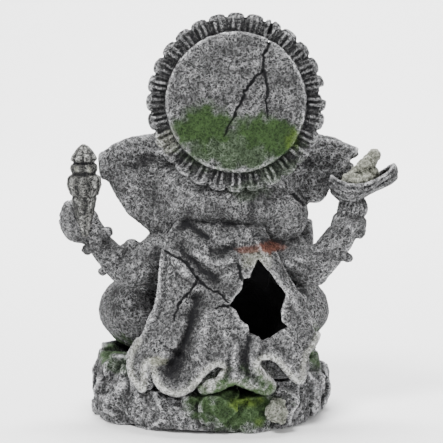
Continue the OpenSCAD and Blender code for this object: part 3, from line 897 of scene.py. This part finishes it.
def curve(points, u):
    """Catmull-Rom curve through points; u runs from 0 at the first to 1 at the last."""
    p = np.asarray(points, float)
    n = len(p) - 1
    s = np.clip(u * n, 0, n - 1e-6)
    i = s.astype(int)
    t = (s - i)[..., None]
    a, b, c, d = p[np.maximum(i - 1, 0)], p[i], p[i + 1], p[np.minimum(i + 2, n)]
    return 0.5 * (2 * b + (c - a) * t + (2 * a - 5 * b + 4 * c - d) * t ** 2
                  + (3 * b - a - 3 * c + d) * t ** 3)


def cloak_edges(z):
    """Rows of CLOAK at heights z, blended smoothly."""
    return curve(CLOAK, (CLOAK_TOP - z) / (CLOAK_TOP - CLOAK_LOW))


def folds_at(flat):
    """Each fold's depth and width, the distance to it, and 1 along it, fading at its ends."""
    for path, width, depth in FOLDS:
        d, along = path_distance(flat, path)
        yield depth, width, d, smooth_step(0, 0.15, along) * smooth_step(1.0, 0.86, along)


def cloak_y(x, z):
    """Depth of the cloth's middle surface at places (x, z)."""
    e = cloak_edges(z)
    across = (x - LEAN * z - e[:, 0]) / (e[:, 1] - e[:, 0])
    bow = np.clip(np.abs(2 * across - 1), 0, 1) ** 2.4
    y = e[:, 2] + (e[:, 3] - e[:, 2]) * bow + 3.0 * smooth_step(73, 82, z)
    for depth, width, d, ends in folds_at(np.c_[x, z]):
        y = y + depth * groove(d, width) * np.maximum(ends, 0.12)
    return y


def cloak_sheet():
    """Middle surface of the cloth: rows of places from the shoulders to below the hem."""
    across = np.linspace(0, 1, 240)
    z = np.linspace(CLOAK_TOP, CLOAK_LOW, 220)
    e = cloak_edges(z)
    x = e[:, :1] + (e[:, 1:2] - e[:, :1]) * across + LEAN * z[:, None]
    z = z[:, None] + 0 * x
    return np.stack([x, cloak_y(x.ravel(), z.ravel()).reshape(x.shape), z], 2)


def thicken(sheet, thick):
    """A closed mesh round a grid of places."""
    du, dv = np.gradient(sheet, axis=1), np.gradient(sheet, axis=0)
    n = np.cross(du, dv)
    n /= np.maximum(np.linalg.norm(n, axis=2), 1e-9)[..., None]
    rows, cols = sheet.shape[:2]
    half = rows * cols
    points = np.concatenate([(sheet + n * thick / 2).reshape(-1, 3),
                             (sheet - n * thick / 2).reshape(-1, 3)])
    i = np.arange(half).reshape(rows, cols)
    a, b, c, d = i[:-1, :-1].ravel(), i[:-1, 1:].ravel(), i[1:, 1:].ravel(), i[1:, :-1].ravel()
    rim = np.concatenate([i[0, :], i[1:, -1], i[-1, -2::-1], i[-2:0:-1, 0]])
    nxt = np.roll(rim, -1)
    tris = np.concatenate([np.c_[a, c, b], np.c_[a, d, c],
                           np.c_[a, b, c] + half, np.c_[a, c, d] + half,
                           np.c_[rim, nxt, nxt + half], np.c_[rim, nxt + half, rim + half]])
    return points, tris


def side_wall(field):
    """Closes the side between the knee and the cloak's right edge."""
    for x, y, z in ((31.5, -23.5, 50), (32.2, -26, 44), (33, -28.5, 38), (33.5, -30.5, 32),
                    (34, -32.5, 26)):
        field.add(capsule(at(x, -8, z), at(x, y, z - 2), 3.9, 3.2), 2.0)


def make_cloak():
    field = mesh_field(*thicken(cloak_sheet(), CLOTH), 0.3, CLOTH_STEP)
    below = [(-60, HEM[0][1])] + HEM + [(70, HEM[-1][1]), (70, 0), (-60, 0)]
    field.cut(prism(below, -60, 10), 0.3)
    line = curve(HEM, np.linspace(0, 1, 5 * len(HEM)))
    rim = np.c_[line[:, 0], cloak_y(line[:, 0], line[:, 1]) - 0.5, line[:, 1]]
    for a, b in zip(rim[:-1], rim[1:]):
        field.add(capsule(a, b, 1.25, 1.25), 0.6)
    for centre, radii in CURLS:
        field.add(blob(centre, radii), 0.6)
    side_wall(field)
    field.cut(prism(MOUTH, -60, 10), 0.35)
    z = (np.arange(field.data.shape[2]) + field.lo[2]) * CLOTH_STEP
    fillet = np.maximum(2.2 * smooth_step(60, 74, z), 0.05).astype(np.float32)
    joined = field.data
    others = np.full(field.data.shape, BAND, np.float32)
    for name in ("torso", "rear_arm_left", "rear_arm_right"):
        near = node_field(name, 1.5, CLOTH_STEP).window(field.lo, field.data.shape)
        joined = merge(joined, near, fillet)
        others = np.minimum(others, near)
    piece = Field(field.lo, np.maximum(joined, field.data - others - SEAM), CLOTH_STEP)

    def extra(p, n, marks):
        flat = p[:, [0, 2]]
        outer = smooth_step(0.25, -0.15, n[:, 1])
        move = 0
        for i, path in enumerate(CLOAK_CRACKS):
            here = {k: marks[k].copy() for k in ("hollow", "relief", "edge")}
            cut = crack(flat, path, 0.42, 1.1, here, i)
            for k, v in here.items():
                marks[k] = marks[k] + outer * (v - marks[k])
            move = move + cut * outer
        # Painted shade along the fold valleys and painted highlights along the ridges.
        for depth, width, d, ends in folds_at(flat):
            key, strength = ("hollow", min(0.42, 0.11 * depth)) if depth > 0 else ("edge", 0.22)
            marks[key] = marks[key] + strength * groove(d, 0.9 * width) * ends * outer
        high = smooth_step(66, 76, p[:, 2])
        lighten(marks, 0, 1 - 0.6 * high)
        # A painted highlight along the hem's rolled rim, with the shade taken off it and a cream
        # tint.
        d, along = path_distance(flat, HEM)
        rim = groove(d - 0.3, 1.0) * (p[:, 1] < -25)
        lighten(marks, 0.55 * rim)
        marks["hollow"] = marks["hollow"] * (1 - 0.7 * rim)
        marks["cream"] = np.maximum(marks["cream"], 0.25 * rim)
        # Painted shade: near black on faces that look into the cave, and dark on faces that look down
        # low on the cloak.
        behind = smooth_step(0.0, 0.5, n[:, 1])
        under = smooth_step(-0.25, -0.7, n[:, 2]) * smooth_step(40, 30, p[:, 2])
        dark = behind * smooth_step(1.35, 1.15, cave_depth(p))
        marks["inside"] = np.maximum(dark, 0.35 * under * (1 - rim))
        return move

    finish("back_drape", piece, "cloak", extra=extra, seed=21)


# ---- Halo ----

RING_R, LOBES = 34.6, 28
DISC_CRACKS = [
    [(13.6, 27.5), (12.9, 24.1), (12.1, 21.0), (10.5, 18.4), (10.5, 13.8), (10.3, 12.0),
     (7.5, 9.7), (3.3, 4.0), (2.6, 0.9), (0.2, -2.7), (-0.5, -5.8), (-2.8, -8.3), (-4.4, -13.0)],
    [(10.3, 12.0), (11.6, 8.1), (12.1, 4.0), (11.6, 0.4), (12.3, -6.3)]]
RING_CRACK = [(12.8, 27.0), (13.4, 29.5), (14.8, 32.0), (15.6, 35.0)]


def halo_place(p, n):
    """In the halo's own frame: place in its plane, and how much a face looks out of its back."""
    d = p - HALO
    return np.c_[d[:, 0], d @ HALO_UP], n @ HALO_OUT


def disc_extra(p, n, marks):
    flat, out = halo_place(p, n)
    r = np.linalg.norm(flat, axis=1)
    back = smooth_step(0.2, 0.7, out)
    move = -0.5 * smooth_step(24.6, 25.4, r) * smooth_step(26.3, 25.6, r) * back
    lighten(marks, 0.15 * back * smooth_step(26.1, 26.4, r))
    for i, path in enumerate(DISC_CRACKS):
        move = move + crack(flat, path, 0.46, 1.1, marks, 5 + i)
    return move + 0.25 * noise(p, 9.0, 77)


def ring_extra(p, n, marks):
    """Flutes between the disc and each scallop's plain outer end, with painted shade in their gaps
    and painted light on their crests and outer ends.
    """
    flat, out = halo_place(p, n)
    r = np.linalg.norm(flat, axis=1)
    angle = np.arctan2(flat[:, 1], flat[:, 0])
    around = 8 * np.c_[np.cos(angle), np.sin(angle), 0 * r]
    drift = 0.9 * noise(around, 2.3, 51) + 0.5 * noise(p, 2.5, 53)
    scallop = np.abs(np.cos(angle * LOBES / 2)) ** 0.55
    reach = RING_R - 1.5 * (1 - scallop)
    wave = np.cos(3 * LOBES * angle + drift + math.pi)
    uneven = 0.5 + 0.5 * noise(around, 0.9, 54)
    ends = smooth_step(reach - 1.2, reach - 4.2 + 2 * uneven, r)
    gap = smooth_step(0.35, -0.5, wave) * (0.45 + 0.75 * uneven) * ends
    between = smooth_step(0.30, 0.12, np.abs(np.cos(angle * LOBES / 2)))
    face = np.clip(smooth_step(0.25, 0.6, np.abs(out)) + 0.6 * smooth_step(30.5, 32.5, r), 0, 1)
    deep = np.clip(np.maximum(gap, 0.8 * between), 0, 1.1) * face
    # A painted shadow of the disc's edge along the ring's foot.
    foot = groove(r - 27.4, 1.0) * face
    marks["hollow"] = 0.3 * marks["hollow"] + 0.62 * deep + 0.25 * foot
    rim = smooth_step(reach - 2.6, reach - 1.2, r)
    crest = 0.10 * (1 - deep) + 0.2 * smooth_step(0.4, 1.0, wave)
    lighten(marks, crest * face + 0.22 * rim, 0.15)
    sink = 0.9 * smooth_step(reach - 2.2, reach, r) * smooth_step(0.3, 0.8, np.abs(out))
    return crack(flat, RING_CRACK, 0.6, 1.4, marks, 9) - 0.95 * deep - sink


# ---- Rock base ----

ROCK_R = (48.0, 44.5)
# Rings of chunks from the ground up: how many, height, size and how far in from the edge
CHUNKS = [(13, 4.5, 10.2, 9.0), (12, 12.0, 9.2, 9.4), (12, 18.5, 6.4, 10.5)]


def make_rock():
    """The base with broken chunks stacked round its side."""
    own = node_field("rock_base", 0.7, ROCK_STEP)
    field = Field(own.lo, own.data + 0.9, ROCK_STEP)
    rng = np.random.default_rng(5)
    for layer, (count, height, size, inset) in enumerate(CHUNKS):
        for i in range(count):
            a = 2 * math.pi * (i + 0.5 * layer + rng.uniform(-0.42, 0.42)) / count
            x, y = np.array([math.cos(a), math.sin(a)]) * (np.array(ROCK_R) - inset)
            r = size * rng.uniform(0.8, 1.15)
            field.add(facets((x, y, height + rng.uniform(-1.5, 1.5)), r, rng, 6), 0.5)
    field.data = np.maximum(field.data, own.data - 1.3)
    field.add(facets((-33.5, -15, 20.0), 6.6, rng, 9), 1.0)
    field.cut(prism([(-80, -20), (90, -20), (90, 0), (-80, 0)], -80, 80), 0.05)
    finish("rock_base", field, "rock", extra=rock_extra, seed=27, size=1.1)


def rock_extra(p, n, marks):
    near, second, mark = cells(p + 0.8 * wobble(p, 5, 71, 72, 73), 7.5, 5)
    side = smooth_step(0.95, 0.6, n[:, 2]) * smooth_step(-0.9, -0.5, n[:, 2])
    vein = groove(second - near, 0.07)
    turn = 37 * mark
    across = p[:, 0] * np.cos(turn) + p[:, 1] * np.sin(turn) + 0.8 * p[:, 2] * np.cos(2.3 * turn)
    step = (across / 8 + 11 * mark) % 1.0
    step = step - smooth_step(0.84, 1.0, step)
    lighten(marks, side * (0.55 * vein + 0.4 * groove(step - 0.84, 0.06)), 1.5)
    # Painted shade on the rock's top under the cloak.
    under = smooth_step(1.28, 1.12, cave_depth(p)) * smooth_step(-38, -34, p[:, 1])
    marks["inside"] = np.maximum(marks["inside"], under)
    move = side * (0.8 * (mark - 0.5) + 1.1 * (step - 0.4)) + 0.3 * noise(p, 6.0, 75)
    return move * smooth_step(0.2, 1.6, p[:, 2])


def rough_pebble(p, n, marks):
    near, second, mark = cells(p, 3.2, 8)
    vein = groove(second - near, 0.12)
    marks["cream"] = np.maximum(marks["cream"], 0.3)
    marks["moss"] *= 0.25
    marks["bright_moss"] *= 0.3
    lighten(marks, 0.3 * vein)
    return 0.9 * (mark - 0.5) + 0.5 * vein + 0.5 * noise(p, 4.0, 76)


# ---- Small things ----


def about_axis(p, a, b):
    """Angle about the line from a to b, and height along it in millimetres."""
    a, b = np.asarray(a, float), np.asarray(b, float)
    w = (b - a) / np.linalg.norm(b - a)
    side = np.cross(w, (0, 1, 0))
    side /= np.linalg.norm(side)
    front = np.cross(w, side)
    d = p - a
    return np.arctan2(d @ front, d @ side), d @ w


MACE_FOOT, MACE_TOP = at(-54.2, -18.6, 73), at(-57.4, -18.6, 108)


# The mace's outline from its foot up: a tulip-shaped body, a collar and a bud
MACE = [(0, 1.6), (4, 2.2), (9, 3.8), (14, 4.7), (15.2, 4.9), (15.8, 5.2), (20, 6.4), (22.5, 6.4),
        (24.2, 5.2), (24.8, 4.7), (26.5, 5.1), (28, 4.8), (28.8, 4.4), (30.0, 5.1), (31.5, 4.5),
        (34, 2.6), (35.6, 0.7)]


def mace_extra(p, n, marks):
    angle, h = about_axis(p, MACE_FOOT, MACE_TOP)
    low = smooth_step(15.8, 14.8, h)
    body = smooth_step(15.2, 16.2, h) * smooth_step(24.0, 23.0, h)
    collar = smooth_step(24.4, 25.2, h) * smooth_step(28.4, 27.6, h)
    bud = smooth_step(28.8, 29.6, h)
    leaf = np.abs(np.cos(2.5 * angle + 0.4)) - groove(h - 11, 5.0) * 0.35
    loops = np.cos(8 * angle) * groove(h - 19.5, 4.2)
    petals = np.cos(8 * angle + math.pi)
    bosses = np.cos(6 * angle) * groove(h - 26.4, 1.6)
    wave = (low * (leaf - 0.45) + body * 0.8 * loops + collar * 0.8 * bosses + bud * 0.6 * petals
            + 0.3 * noise(p, 1.6, 79))
    lines = sum(groove(h - level, 0.5) for level in (15.5, 24.4, 28.7))
    paint_wave(marks, wave, 0.55, 0.3, 0.3)
    darken(marks, 0.4 * lines)
    marks["cream"] = np.clip(0.35 * collar * smooth_step(0.2, 0.8, wave), 0, 1)
    return 0.45 * wave - 0.4 * lines


def make_mace():
    field = empty_field("mace")
    field.add(lathe(MACE_FOOT, MACE_TOP, MACE), 0.1)
    finish("mace", field, extra=mace_extra, seed=41, depth=0.16, material=pale)


# The bowl's keel from its blunt end to its raised end, and the radius of its hull at each end
BOWL_A, BOWL_B = np.array([55.2, -14, 93.2]), np.array([69.0, -14, 97.4])
HULL_A, HULL_B, HULL_WIDE = 7.9, 5.4, 1.3


def bowl_rim(x):
    return 93.9 + 0.031 * (x - 57.5) ** 2


def make_bowl():
    """A boat-shaped bowl: a thick hull, hollowed, with a rim that dips in the middle."""
    field = empty_field("bowl")

    def hull(less):
        low, high, distance = capsule(BOWL_A, BOWL_B, HULL_A - less, HULL_B - less)
        return (low - (0, 4, 0), high + (0, 4, 0),
                lambda x, y, z: distance(x, (y + 14) / HULL_WIDE - 14, z))

    def above(x, y, z):
        return 0.9 * (bowl_rim(x) - z) + 0 * y

    field.add(hull(0.0), 0.1)
    field.cut(hull(1.9), 0.6)
    field.cut((BOWL_A - 12, BOWL_B + 14, above), 0.8)
    finish("bowl", field, extra=bowl_extra, seed=43, depth=0.2, edges=0.6)


def bowl_extra(p, n, marks):
    below = bowl_rim(p[:, 0]) - p[:, 2]
    wave = np.sin(2 * math.pi * below / 2.1 + 1.2 * noise(p, 5, 81))
    streak = noise(np.c_[p[:, 0] * 0.25, p[:, 1] * 0.4, below], 1.0, 82)
    outer = smooth_step(0.5, 0.0, n[:, 2])
    wave = np.clip(0.45 * wave + 1.0 * streak, -1, 1) * outer
    paint_wave(marks, wave, 0.55, 0.28)
    return 0.30 * wave


def sweet_extra(p, n, marks):
    marks["cream"] = np.maximum(marks["cream"], 0.45)
    near = cells(p, 2.6, 9)[0]
    return 0.5 * (0.6 - near) + 0.35 * noise(p, 1.6, 95)


# Each bangle's middle from the axis, and the way its arm runs there
BANGLES = [("bangles_rear_left", (-49.5, -14.2, 70.3), (-6, 0.5, 6.8)),
           ("bangles_rear_right", (48.3, -14, 75.3), (2.6, 0, 8)),
           ("bangles_front_left", (-36.5, 21, 51.2), (0, 7, 2)),
           ("bangles_front_right", (34, 19, 60.2), (-1, 3, 6))]
BEADS = 14


def bead_extra(a, b):
    """Turns a plain bangle round the line from a to b into a string of lumps."""
    def extra(p, n, marks):
        wave = np.cos(BEADS * about_axis(p, a, b)[0])
        paint_wave(marks, wave, 0.3, 0.1, 0.3)
        return 0.15 * wave + 0.6 * noise(p, 2.6, 91)
    return extra


def make_bangles():
    for i, (node, centre, axis) in enumerate(BANGLES):
        own = node_field(node, 0.8, FINE)
        finish(node, Field(own.lo, own.data - 0.7, FINE), depth=0.3, seed=36 + i,
               extra=bead_extra(at(*centre), at(*centre) + axis))


# ---- The figure ----


def torso_detail(f):
    f.add(blob(at(-15, -12, 88), (13, 9, 11)), 5.0)
    f.add(blob(at(14, -12, 90), (12, 8, 10)), 5.0)
    for a, b in (((-18, -14.5, 83), (-9, -19.5, 84.5)), ((-9, -19.5, 84.5), (7, -19.5, 84.2)),
                 ((7, -19.5, 84.2), (12, -18, 83))):
        f.add(capsule(at(*a), at(*b), 5.2, 5.2), 4.0)
    f.add(blob((-20.5, -9, 55.5), (5.5, 7, 6)), 2.0)
    f.cut(blob(at(0, 33.5, 41), (1.5, 3, 1.7)), 0.8)
    for side in (-1, 1):
        f.add(blob(at(9 * side, 22, 66), (9, 6.5, 7)), 3.0)
    for i in range(14):
        a = math.radians(-78 + 12 * i)
        f.add(capsule(at(25 * math.sin(a), 8 + 25 * math.cos(a), 33 - 2 * math.cos(a)),
                      at(25 * math.sin(a + 0.21), 8 + 25 * math.cos(a + 0.21),
                         33 - 2 * math.cos(a + 0.21)), 1.7, 1.7), 1.0)


def torso_extra(p, n, marks):
    paint_cave_shade(p, n, marks)
    return 0.35 * noise(p, 7.0, 15)


def leg_detail(side):
    def detail(f):
        if side < 0:
            for x0, z0, x1, z1 in ((-38, 44, -27, 48.5), (-44, 38, -30, 44.5)):
                f.cut(capsule(at(x0, -12, z0), at(x1, -13, z1), 0.6, 0.6), 1.4)
            foot = [(15.5, 35 + 2.3 * i, 23.6 - 0.3 * i, 1.9 - 0.22 * i) for i in range(4)]
            for x, y, z, r in foot:
                f.add(capsule(at(9, y - 1, z - 0.5), at(x - 0.8 * (y - 35) / 3, y, z), r, r), 0.7)
        else:
            foot = [(-11 + 0.3 * i, 27.5 + 2.2 * i, 21 - 0.4 * i, 1.8 - 0.2 * i) for i in range(4)]
            for x, y, z, r in foot:
                f.add(capsule(at(-5, y, z), at(x, y, z), r, r), 0.7)
            side_wall(f)
    return detail


def leg_extra(side):
    def extra(p, n, marks):
        paint_cave_shade(p, n, marks)
        back = smooth_step(0.1, -0.5, n[:, 1])
        streak = noise(p * (1.0, 1.0, 0.35), 2.2, 17) * back
        marks["relief"] = np.clip(marks["relief"] + 0.22 * streak, 0, 1)
        marks["hollow"] = marks["hollow"] * (1 - 0.3 * back)
        front = smooth_step(0.0, 0.5, n[:, 1])
        # Painted shade in the troughs of the cloth folds on the front.
        cloth = np.cos(0.75 * p[:, 0] - side * 0.5 * p[:, 2] + 1.5 * noise(p, 9, 19)) * front
        darken(marks, 0.25 * np.clip(-cloth, 0, 1))
        return 0.30 * streak + 0.4 * noise(p, 8.0, 18) + 0.5 * cloth
    return extra


def left_arm_detail(f):
    f.add(blob(at(-57.8, -12.6, 78.6), (7.0, 5.2, 7.8)), 2.0)
    for i in range(4):
        z = 74.2 + 3.3 * i
        f.add(capsule(at(-62.5, -10, z), at(-56, -8.3, z + 0.4), 1.75, 1.6), 0.6)
        f.cut(capsule(at(-65.5, -16, z + 1.7), at(-65, -9, z + 1.7), 0.5, 0.5), 0.8)
    f.add(capsule(at(-51.5, -14.3, 74), at(-52.8, -14.5, 79), 4.6, 3.4), 2.0)
    f.add(blob(at(-56.5, -14.5, 74.5), (5.6, 4.6, 4.6)), 2.0)
    # loose cloth lump inside the elbow and folds over the upper arm
    f.add(blob(at(-36, -13, 68), (3.2, 3, 3)), 1.4)
    f.cut(capsule(at(-24, -22, 69), at(-33, -22, 60), 0.7, 0.5), 1.3)


def right_arm_detail(f):
    f.add(blob(at(35.5, -17, 58), (6.5, 4.5, 4.6)), 2.5)
    f.add(blob(at(29, -19, 63), (6.5, 4.0, 4.0)), 2.5)
    f.add(blob(at(44.5, -14.5, 57.8), (2.4, 2.4, 2.0)), 1.0)
    f.add(capsule(at(48.9, -14, 80), at(49.3, -14, 84.6), 4.8, 5.2), 1.5)
    f.add(capsule((43.0, -14, 63), (50.4, -14, 72.5), 4.4, 4.4), 2.0)
    f.add(band(at(48.7, -14, 77.4), (1.2, 0, 8), 4.9, 1.9, 1.9), 1.0)
    f.cut(band(at(48.9, -14, 80.9), (1.2, 0, 8), 6.4, 0.8, 1.0), 0.8)
    f.cut(capsule(at(22, -23, 66.5), at(34, -22.5, 60.5), 0.5, 0.5), 1.2)
    f.cut(capsule((61.5, -14, 66.5), (54, -14, 53.5), 5.2, 8.4), 1.5)


def right_arm_extra(p, n, marks):
    paint_cave_shade(p, n, marks)
    angle, h = about_axis(p, at(48.6, -14, 80), at(49.3, -14, 90))
    near = smooth_step(14, 9, np.linalg.norm(p[:, :2] - at(49, -14, 85)[:2], axis=1))
    hand = smooth_step(0.6, 1.8, h) * near
    wave = np.cos(19 * angle + 2.0 * noise(p, 2.5, 41))
    paint_wave(marks, wave, 0.35 * hand, 0.2 * hand)
    return 0.25 * wave * hand + 0.3 * noise(p, 6.0, 42)


def soft_lumps(seed, amount=0.3):
    def extra(p, n, marks):
        return amount * noise(p, 6.0, seed)
    return extra


def front_left_detail(f):
    for i in range(4):
        x = -41.2 + 2.6 * i
        f.add(capsule(at(x, 29.5, 54.5), at(x * 0.985, 30.2, 59.5), 1.5, 1.3), 0.5)
    f.add(capsule(at(-32.6, 24, 55), at(-33.4, 24.5, 60.5), 1.6, 1.3), 0.6)


def front_right_detail(f):
    for i in range(3):
        x = 31.2 + 1.75 * i
        f.cut(capsule(at(x, 24.2, 68.0), at(x + 0.1, 25.0, 75.5), 0.35, 0.6), 0.5)
        f.cut(capsule(at(x, 19.2, 68.0), at(x + 0.1, 19.4, 75.5), 0.35, 0.6), 0.5)
    f.add(capsule(at(29.2, 21.5, 64.5), at(27.0, 22.5, 68.8), 1.7, 1.3), 0.6)
    f.add(blob(at(33, 23.8, 66.5), (1.8, 0.9, 1.8)), 0.4)


def head_detail(f):
    for side in (-1, 1):
        f.add(capsule(at(3.5 * side, 20.0, 105), at(13 * side, 15.5, 104.5), 1.8, 1.2), 1.6)
        f.cut(blob(at(8.6 * side, 19.2, 100.4), (4.2, 2.6, 2.4), 8 * side), 1.0)
        f.add(blob(at(8.4 * side, 17.6, 100.2), (2.7, 2.2, 1.9)), 0.4)
        f.add(capsule(at(5.2 * side, 19.9, 101.0), at(8.6 * side, 19.6, 102.5), 0.7, 0.8), 0.4)
        f.add(capsule(at(8.6 * side, 19.6, 102.5), at(12.0 * side, 17.2, 100.6), 0.8, 0.6), 0.4)
        f.add(capsule(at(5.4 * side, 19.8, 99.2), at(11.6 * side, 17.4, 98.9), 0.55, 0.55), 0.4)
    f.add(blob(at(0, 19.8, 109.5), (1.7, 1.6, 3.0)), 0.5)
    f.add(band(at(0, 19.6, 109.5), (0, 1, 0), 3.0, 0.5), 0.4)
    f.add(blob(at(0, 19, 84.8), (4.5, 4.5, 2.6)), 1.2)


def trunk_extra(p, n, marks):
    path = [at(*q) for q in [(0, 14, 99), (0, 24, 92), (0, 32, 82), (-1, 36, 71),
                                 (-6, 38, 60), (-14, 38.5, 55), (-21, 37, 58), (-22, 35, 63)]]
    d, along = path_distance(p, path)
    front = smooth_step(-0.4, 0.3, n[:, 1] + 0.5 * np.abs(n[:, 0]))
    wave = np.cos(along * 2 * math.pi * 24) * smooth_step(0.02, 0.1, along) * front
    paint_wave(marks, wave, 0.5, 0.25)
    return 0.34 * wave


# The ears' rolled top rim and the ragged hollow under it, in x from the axis and z
EAR_RIM = [(49, 104.2), (45, 106.6), (40, 107.6), (33, 107.4), (25, 106.6), (17, 105.6)]
EAR_HOLLOW = [(42, 101.6), (38, 100.6), (34, 101.4), (30, 101.6), (24, 100.4)]


def ear_extra(side):
    def extra(p, n, marks):
        flat = np.c_[side * (p[:, 0] - LEAN * p[:, 2]), p[:, 2]]
        back = smooth_step(0.2, -0.3, n[:, 1])
        ragged = flat + 1.1 * wobble(p, 3.5, 55, 56)
        rim, _ = path_distance(flat, EAR_RIM)
        hollow, _ = path_distance(ragged, EAR_HOLLOW)
        inner = smooth_step(46, 34, flat[:, 0])
        # Painted shade in the ragged hollow under the rolled rim, stronger on the left ear.
        dip = smooth_step(3.0, 1.4, hollow) * (0.45 + 0.55 * inner) * back
        dip = dip * (0.55 + 0.5 * noise(p, 3.0, 58)) * (1.0 if side < 0 else 0.35)
        lip = groove(hollow - 3.6, 0.7) * back * smooth_step(48, 42, flat[:, 0])
        marks["hollow"] = marks["hollow"] * (1 - 0.35 * back)
        darken(marks, 0.5 * dip)
        lighten(marks, 0.3 * lip)
        front = smooth_step(-0.2, 0.3, n[:, 1])
        # Painted shade in the scoop on the ear's front.
        centre = np.linalg.norm((flat - (31, 92)) / (14.5, 13), axis=1)
        scoop = smooth_step(1.0, 0.72, centre) * front
        fold = np.cos(centre * 14) * smooth_step(0.3, 0.6, centre) * scoop
        darken(marks, 0.35 * scoop)
        move = 0.5 * groove(rim, 2.2) * back - 1.3 * dip + 0.35 * lip - 1.3 * scoop + 0.3 * fold
        if side > 0:
            where = np.c_[p[:, 0], p[:, 2]]
            split = crack(where, [(31.2, 92), (32.9, 89.6), (34.9, 87.6), (37.8, 84.8)],
                          0.6, 1.3, marks, 12)
            move = move + split * back
        return move + 0.35 * noise(p, 7.0, 57)
    return extra


def left_ear_detail(f):
    f.add(capsule((-41.3, -7.5, 103.0), (-40.6, -7.5, 95.5), 1.9, 1.9), 1.5)


# The broken top corner of the right ear, in x and z
EAR_CORNER = [(38, 104), (41, 110.5), (46.7, 110.0), (51.3, 108.9), (55.9, 107.5), (59.2, 106.3),
              (58.2, 104.2), (56.2, 102.9), (55.6, 100.9), (57.6, 99.8), (56, 96), (48, 95)]


def right_ear_detail(f):
    f.add(prism(EAR_CORNER, -10.0, -5.5), 0.4)
    f.add(blob(at(21.8, -13.0, 80.5), (10.6, 8.5, 10.0)), 2.0)


# Sweets heaped in the bowl: place and radius
SWEETS = [(54.8, -16, 94.6, 2.8), (57.6, -18.4, 94.4, 2.9), (58.6, -13, 96, 3.2),
          (61.8, -17.4, 95.2, 2.9), (64.4, -14, 96.6, 2.8), (60.6, -14.5, 99.2, 3.0),
          (63.0, -14, 101.6, 2.7), (65.0, -14, 104.2, 2.4)]


def make_sweets():
    heap = empty_field("sweets")
    for x, y, z, r in SWEETS:
        heap.add(blob((x, y, z), (r, r, r)), 0.7)
    heap.add(capsule((58, -14, 95), (65.0, -14, 103.8), 3.6, 1.6), 1.5)
    held = node_field("held_sweet", 0.6, FINE)
    for i, (node, field) in enumerate((("sweets", heap), ("held_sweet", held))):
        finish(node, field, extra=sweet_extra, seed=45 + i, depth=0.32, material=pale, edges=0.5)


def crown_extra(p, n, marks):
    d = p - at(0, 4, 116)
    angle = np.arctan2(d[:, 1], d[:, 0])
    beads = np.cos(22 * angle) * (groove(d[:, 2] - 1.5, 1.4) + groove(d[:, 2] - 11.5, 1.2)
                                  + groove(d[:, 2] - 18, 1.2))
    leaves = np.abs(np.sin(6 * angle)) * groove(d[:, 2] - 6.5, 2.2)
    move = 0.55 * beads + 0.9 * (leaves - 0.3 * groove(d[:, 2] - 6.5, 2.2))
    # Painted shade in the recesses between the beads and leaves, and lighter paint on their raised
    # parts.
    darken(marks, np.clip(-1.3 * move, 0, 1))
    lighten(marks, 0.7 * np.clip(move, 0, 1))
    return move


# ---- Everything ----

make_camera()
make_floor()
make_lights()
stone = stone_material("grey cast stone", 1.0, (1.0, 1.0, 1.02))
pale = stone_material("pale cast stone", 1.08, (1.0, 1.0, 0.95))
shade_field = solid_share(everything(1.2), 3.2)

# The figure's parts: node, how far its solid is rounded over, details, extra and seed
FIGURE = [("torso", 1.5, torso_detail, torso_extra, 1),
          ("leg_left", 1.5, leg_detail(-1), leg_extra(-1), 3),
          ("ear_left", 0.9, left_ear_detail, ear_extra(-1), 6),
          ("leg_right", 1.5, leg_detail(1), leg_extra(1), 5),
          ("ear_right", 0.9, right_ear_detail, ear_extra(1), 8),
          ("head", 1.2, head_detail, soft_lumps(46, 0.1), 10),
          ("trunk", 1.0, None, trunk_extra, 11),
          ("rear_arm_left", 1.5, left_arm_detail, soft_lumps(43), 12),
          ("rear_arm_right", 1.2, right_arm_detail, right_arm_extra, 13),
          ("front_arm_left", 1.0, front_left_detail, soft_lumps(44), 14),
          ("front_arm_right", 0.8, front_right_detail, soft_lumps(45), 15)]
for node, soft, detail, extra, seed in FIGURE:
    sculpt(node, soft, detail)
for node, soft, detail, extra, seed in FIGURE:
    body_piece(node, name="body" if node == "torso" else None, extra=extra, seed=seed)
make_cloak()
finish("halo_disc", node_field("halo_disc", 0.3, DISC_STEP), extra=disc_extra, seed=23, size=1.15)
finish("halo_ring", node_field("halo_ring", 0.3, FINE), extra=ring_extra, seed=25)
make_rock()
finish("pale_stone", node_field("pale_stone", 0.6, FINE), "pebble", extra=rough_pebble,
       seed=29, material=pale)
finish("crown", node_field("crown", 0.4, FINE), extra=crown_extra, seed=31, depth=0.2)
for i, node in enumerate(("tusks", "necklace", "anklets")):
    finish(node, node_field(node, 0.25, FINE), seed=33 + i, depth=0.14, edges=0.4)
make_bangles()
make_mace()
make_bowl()
make_sweets()
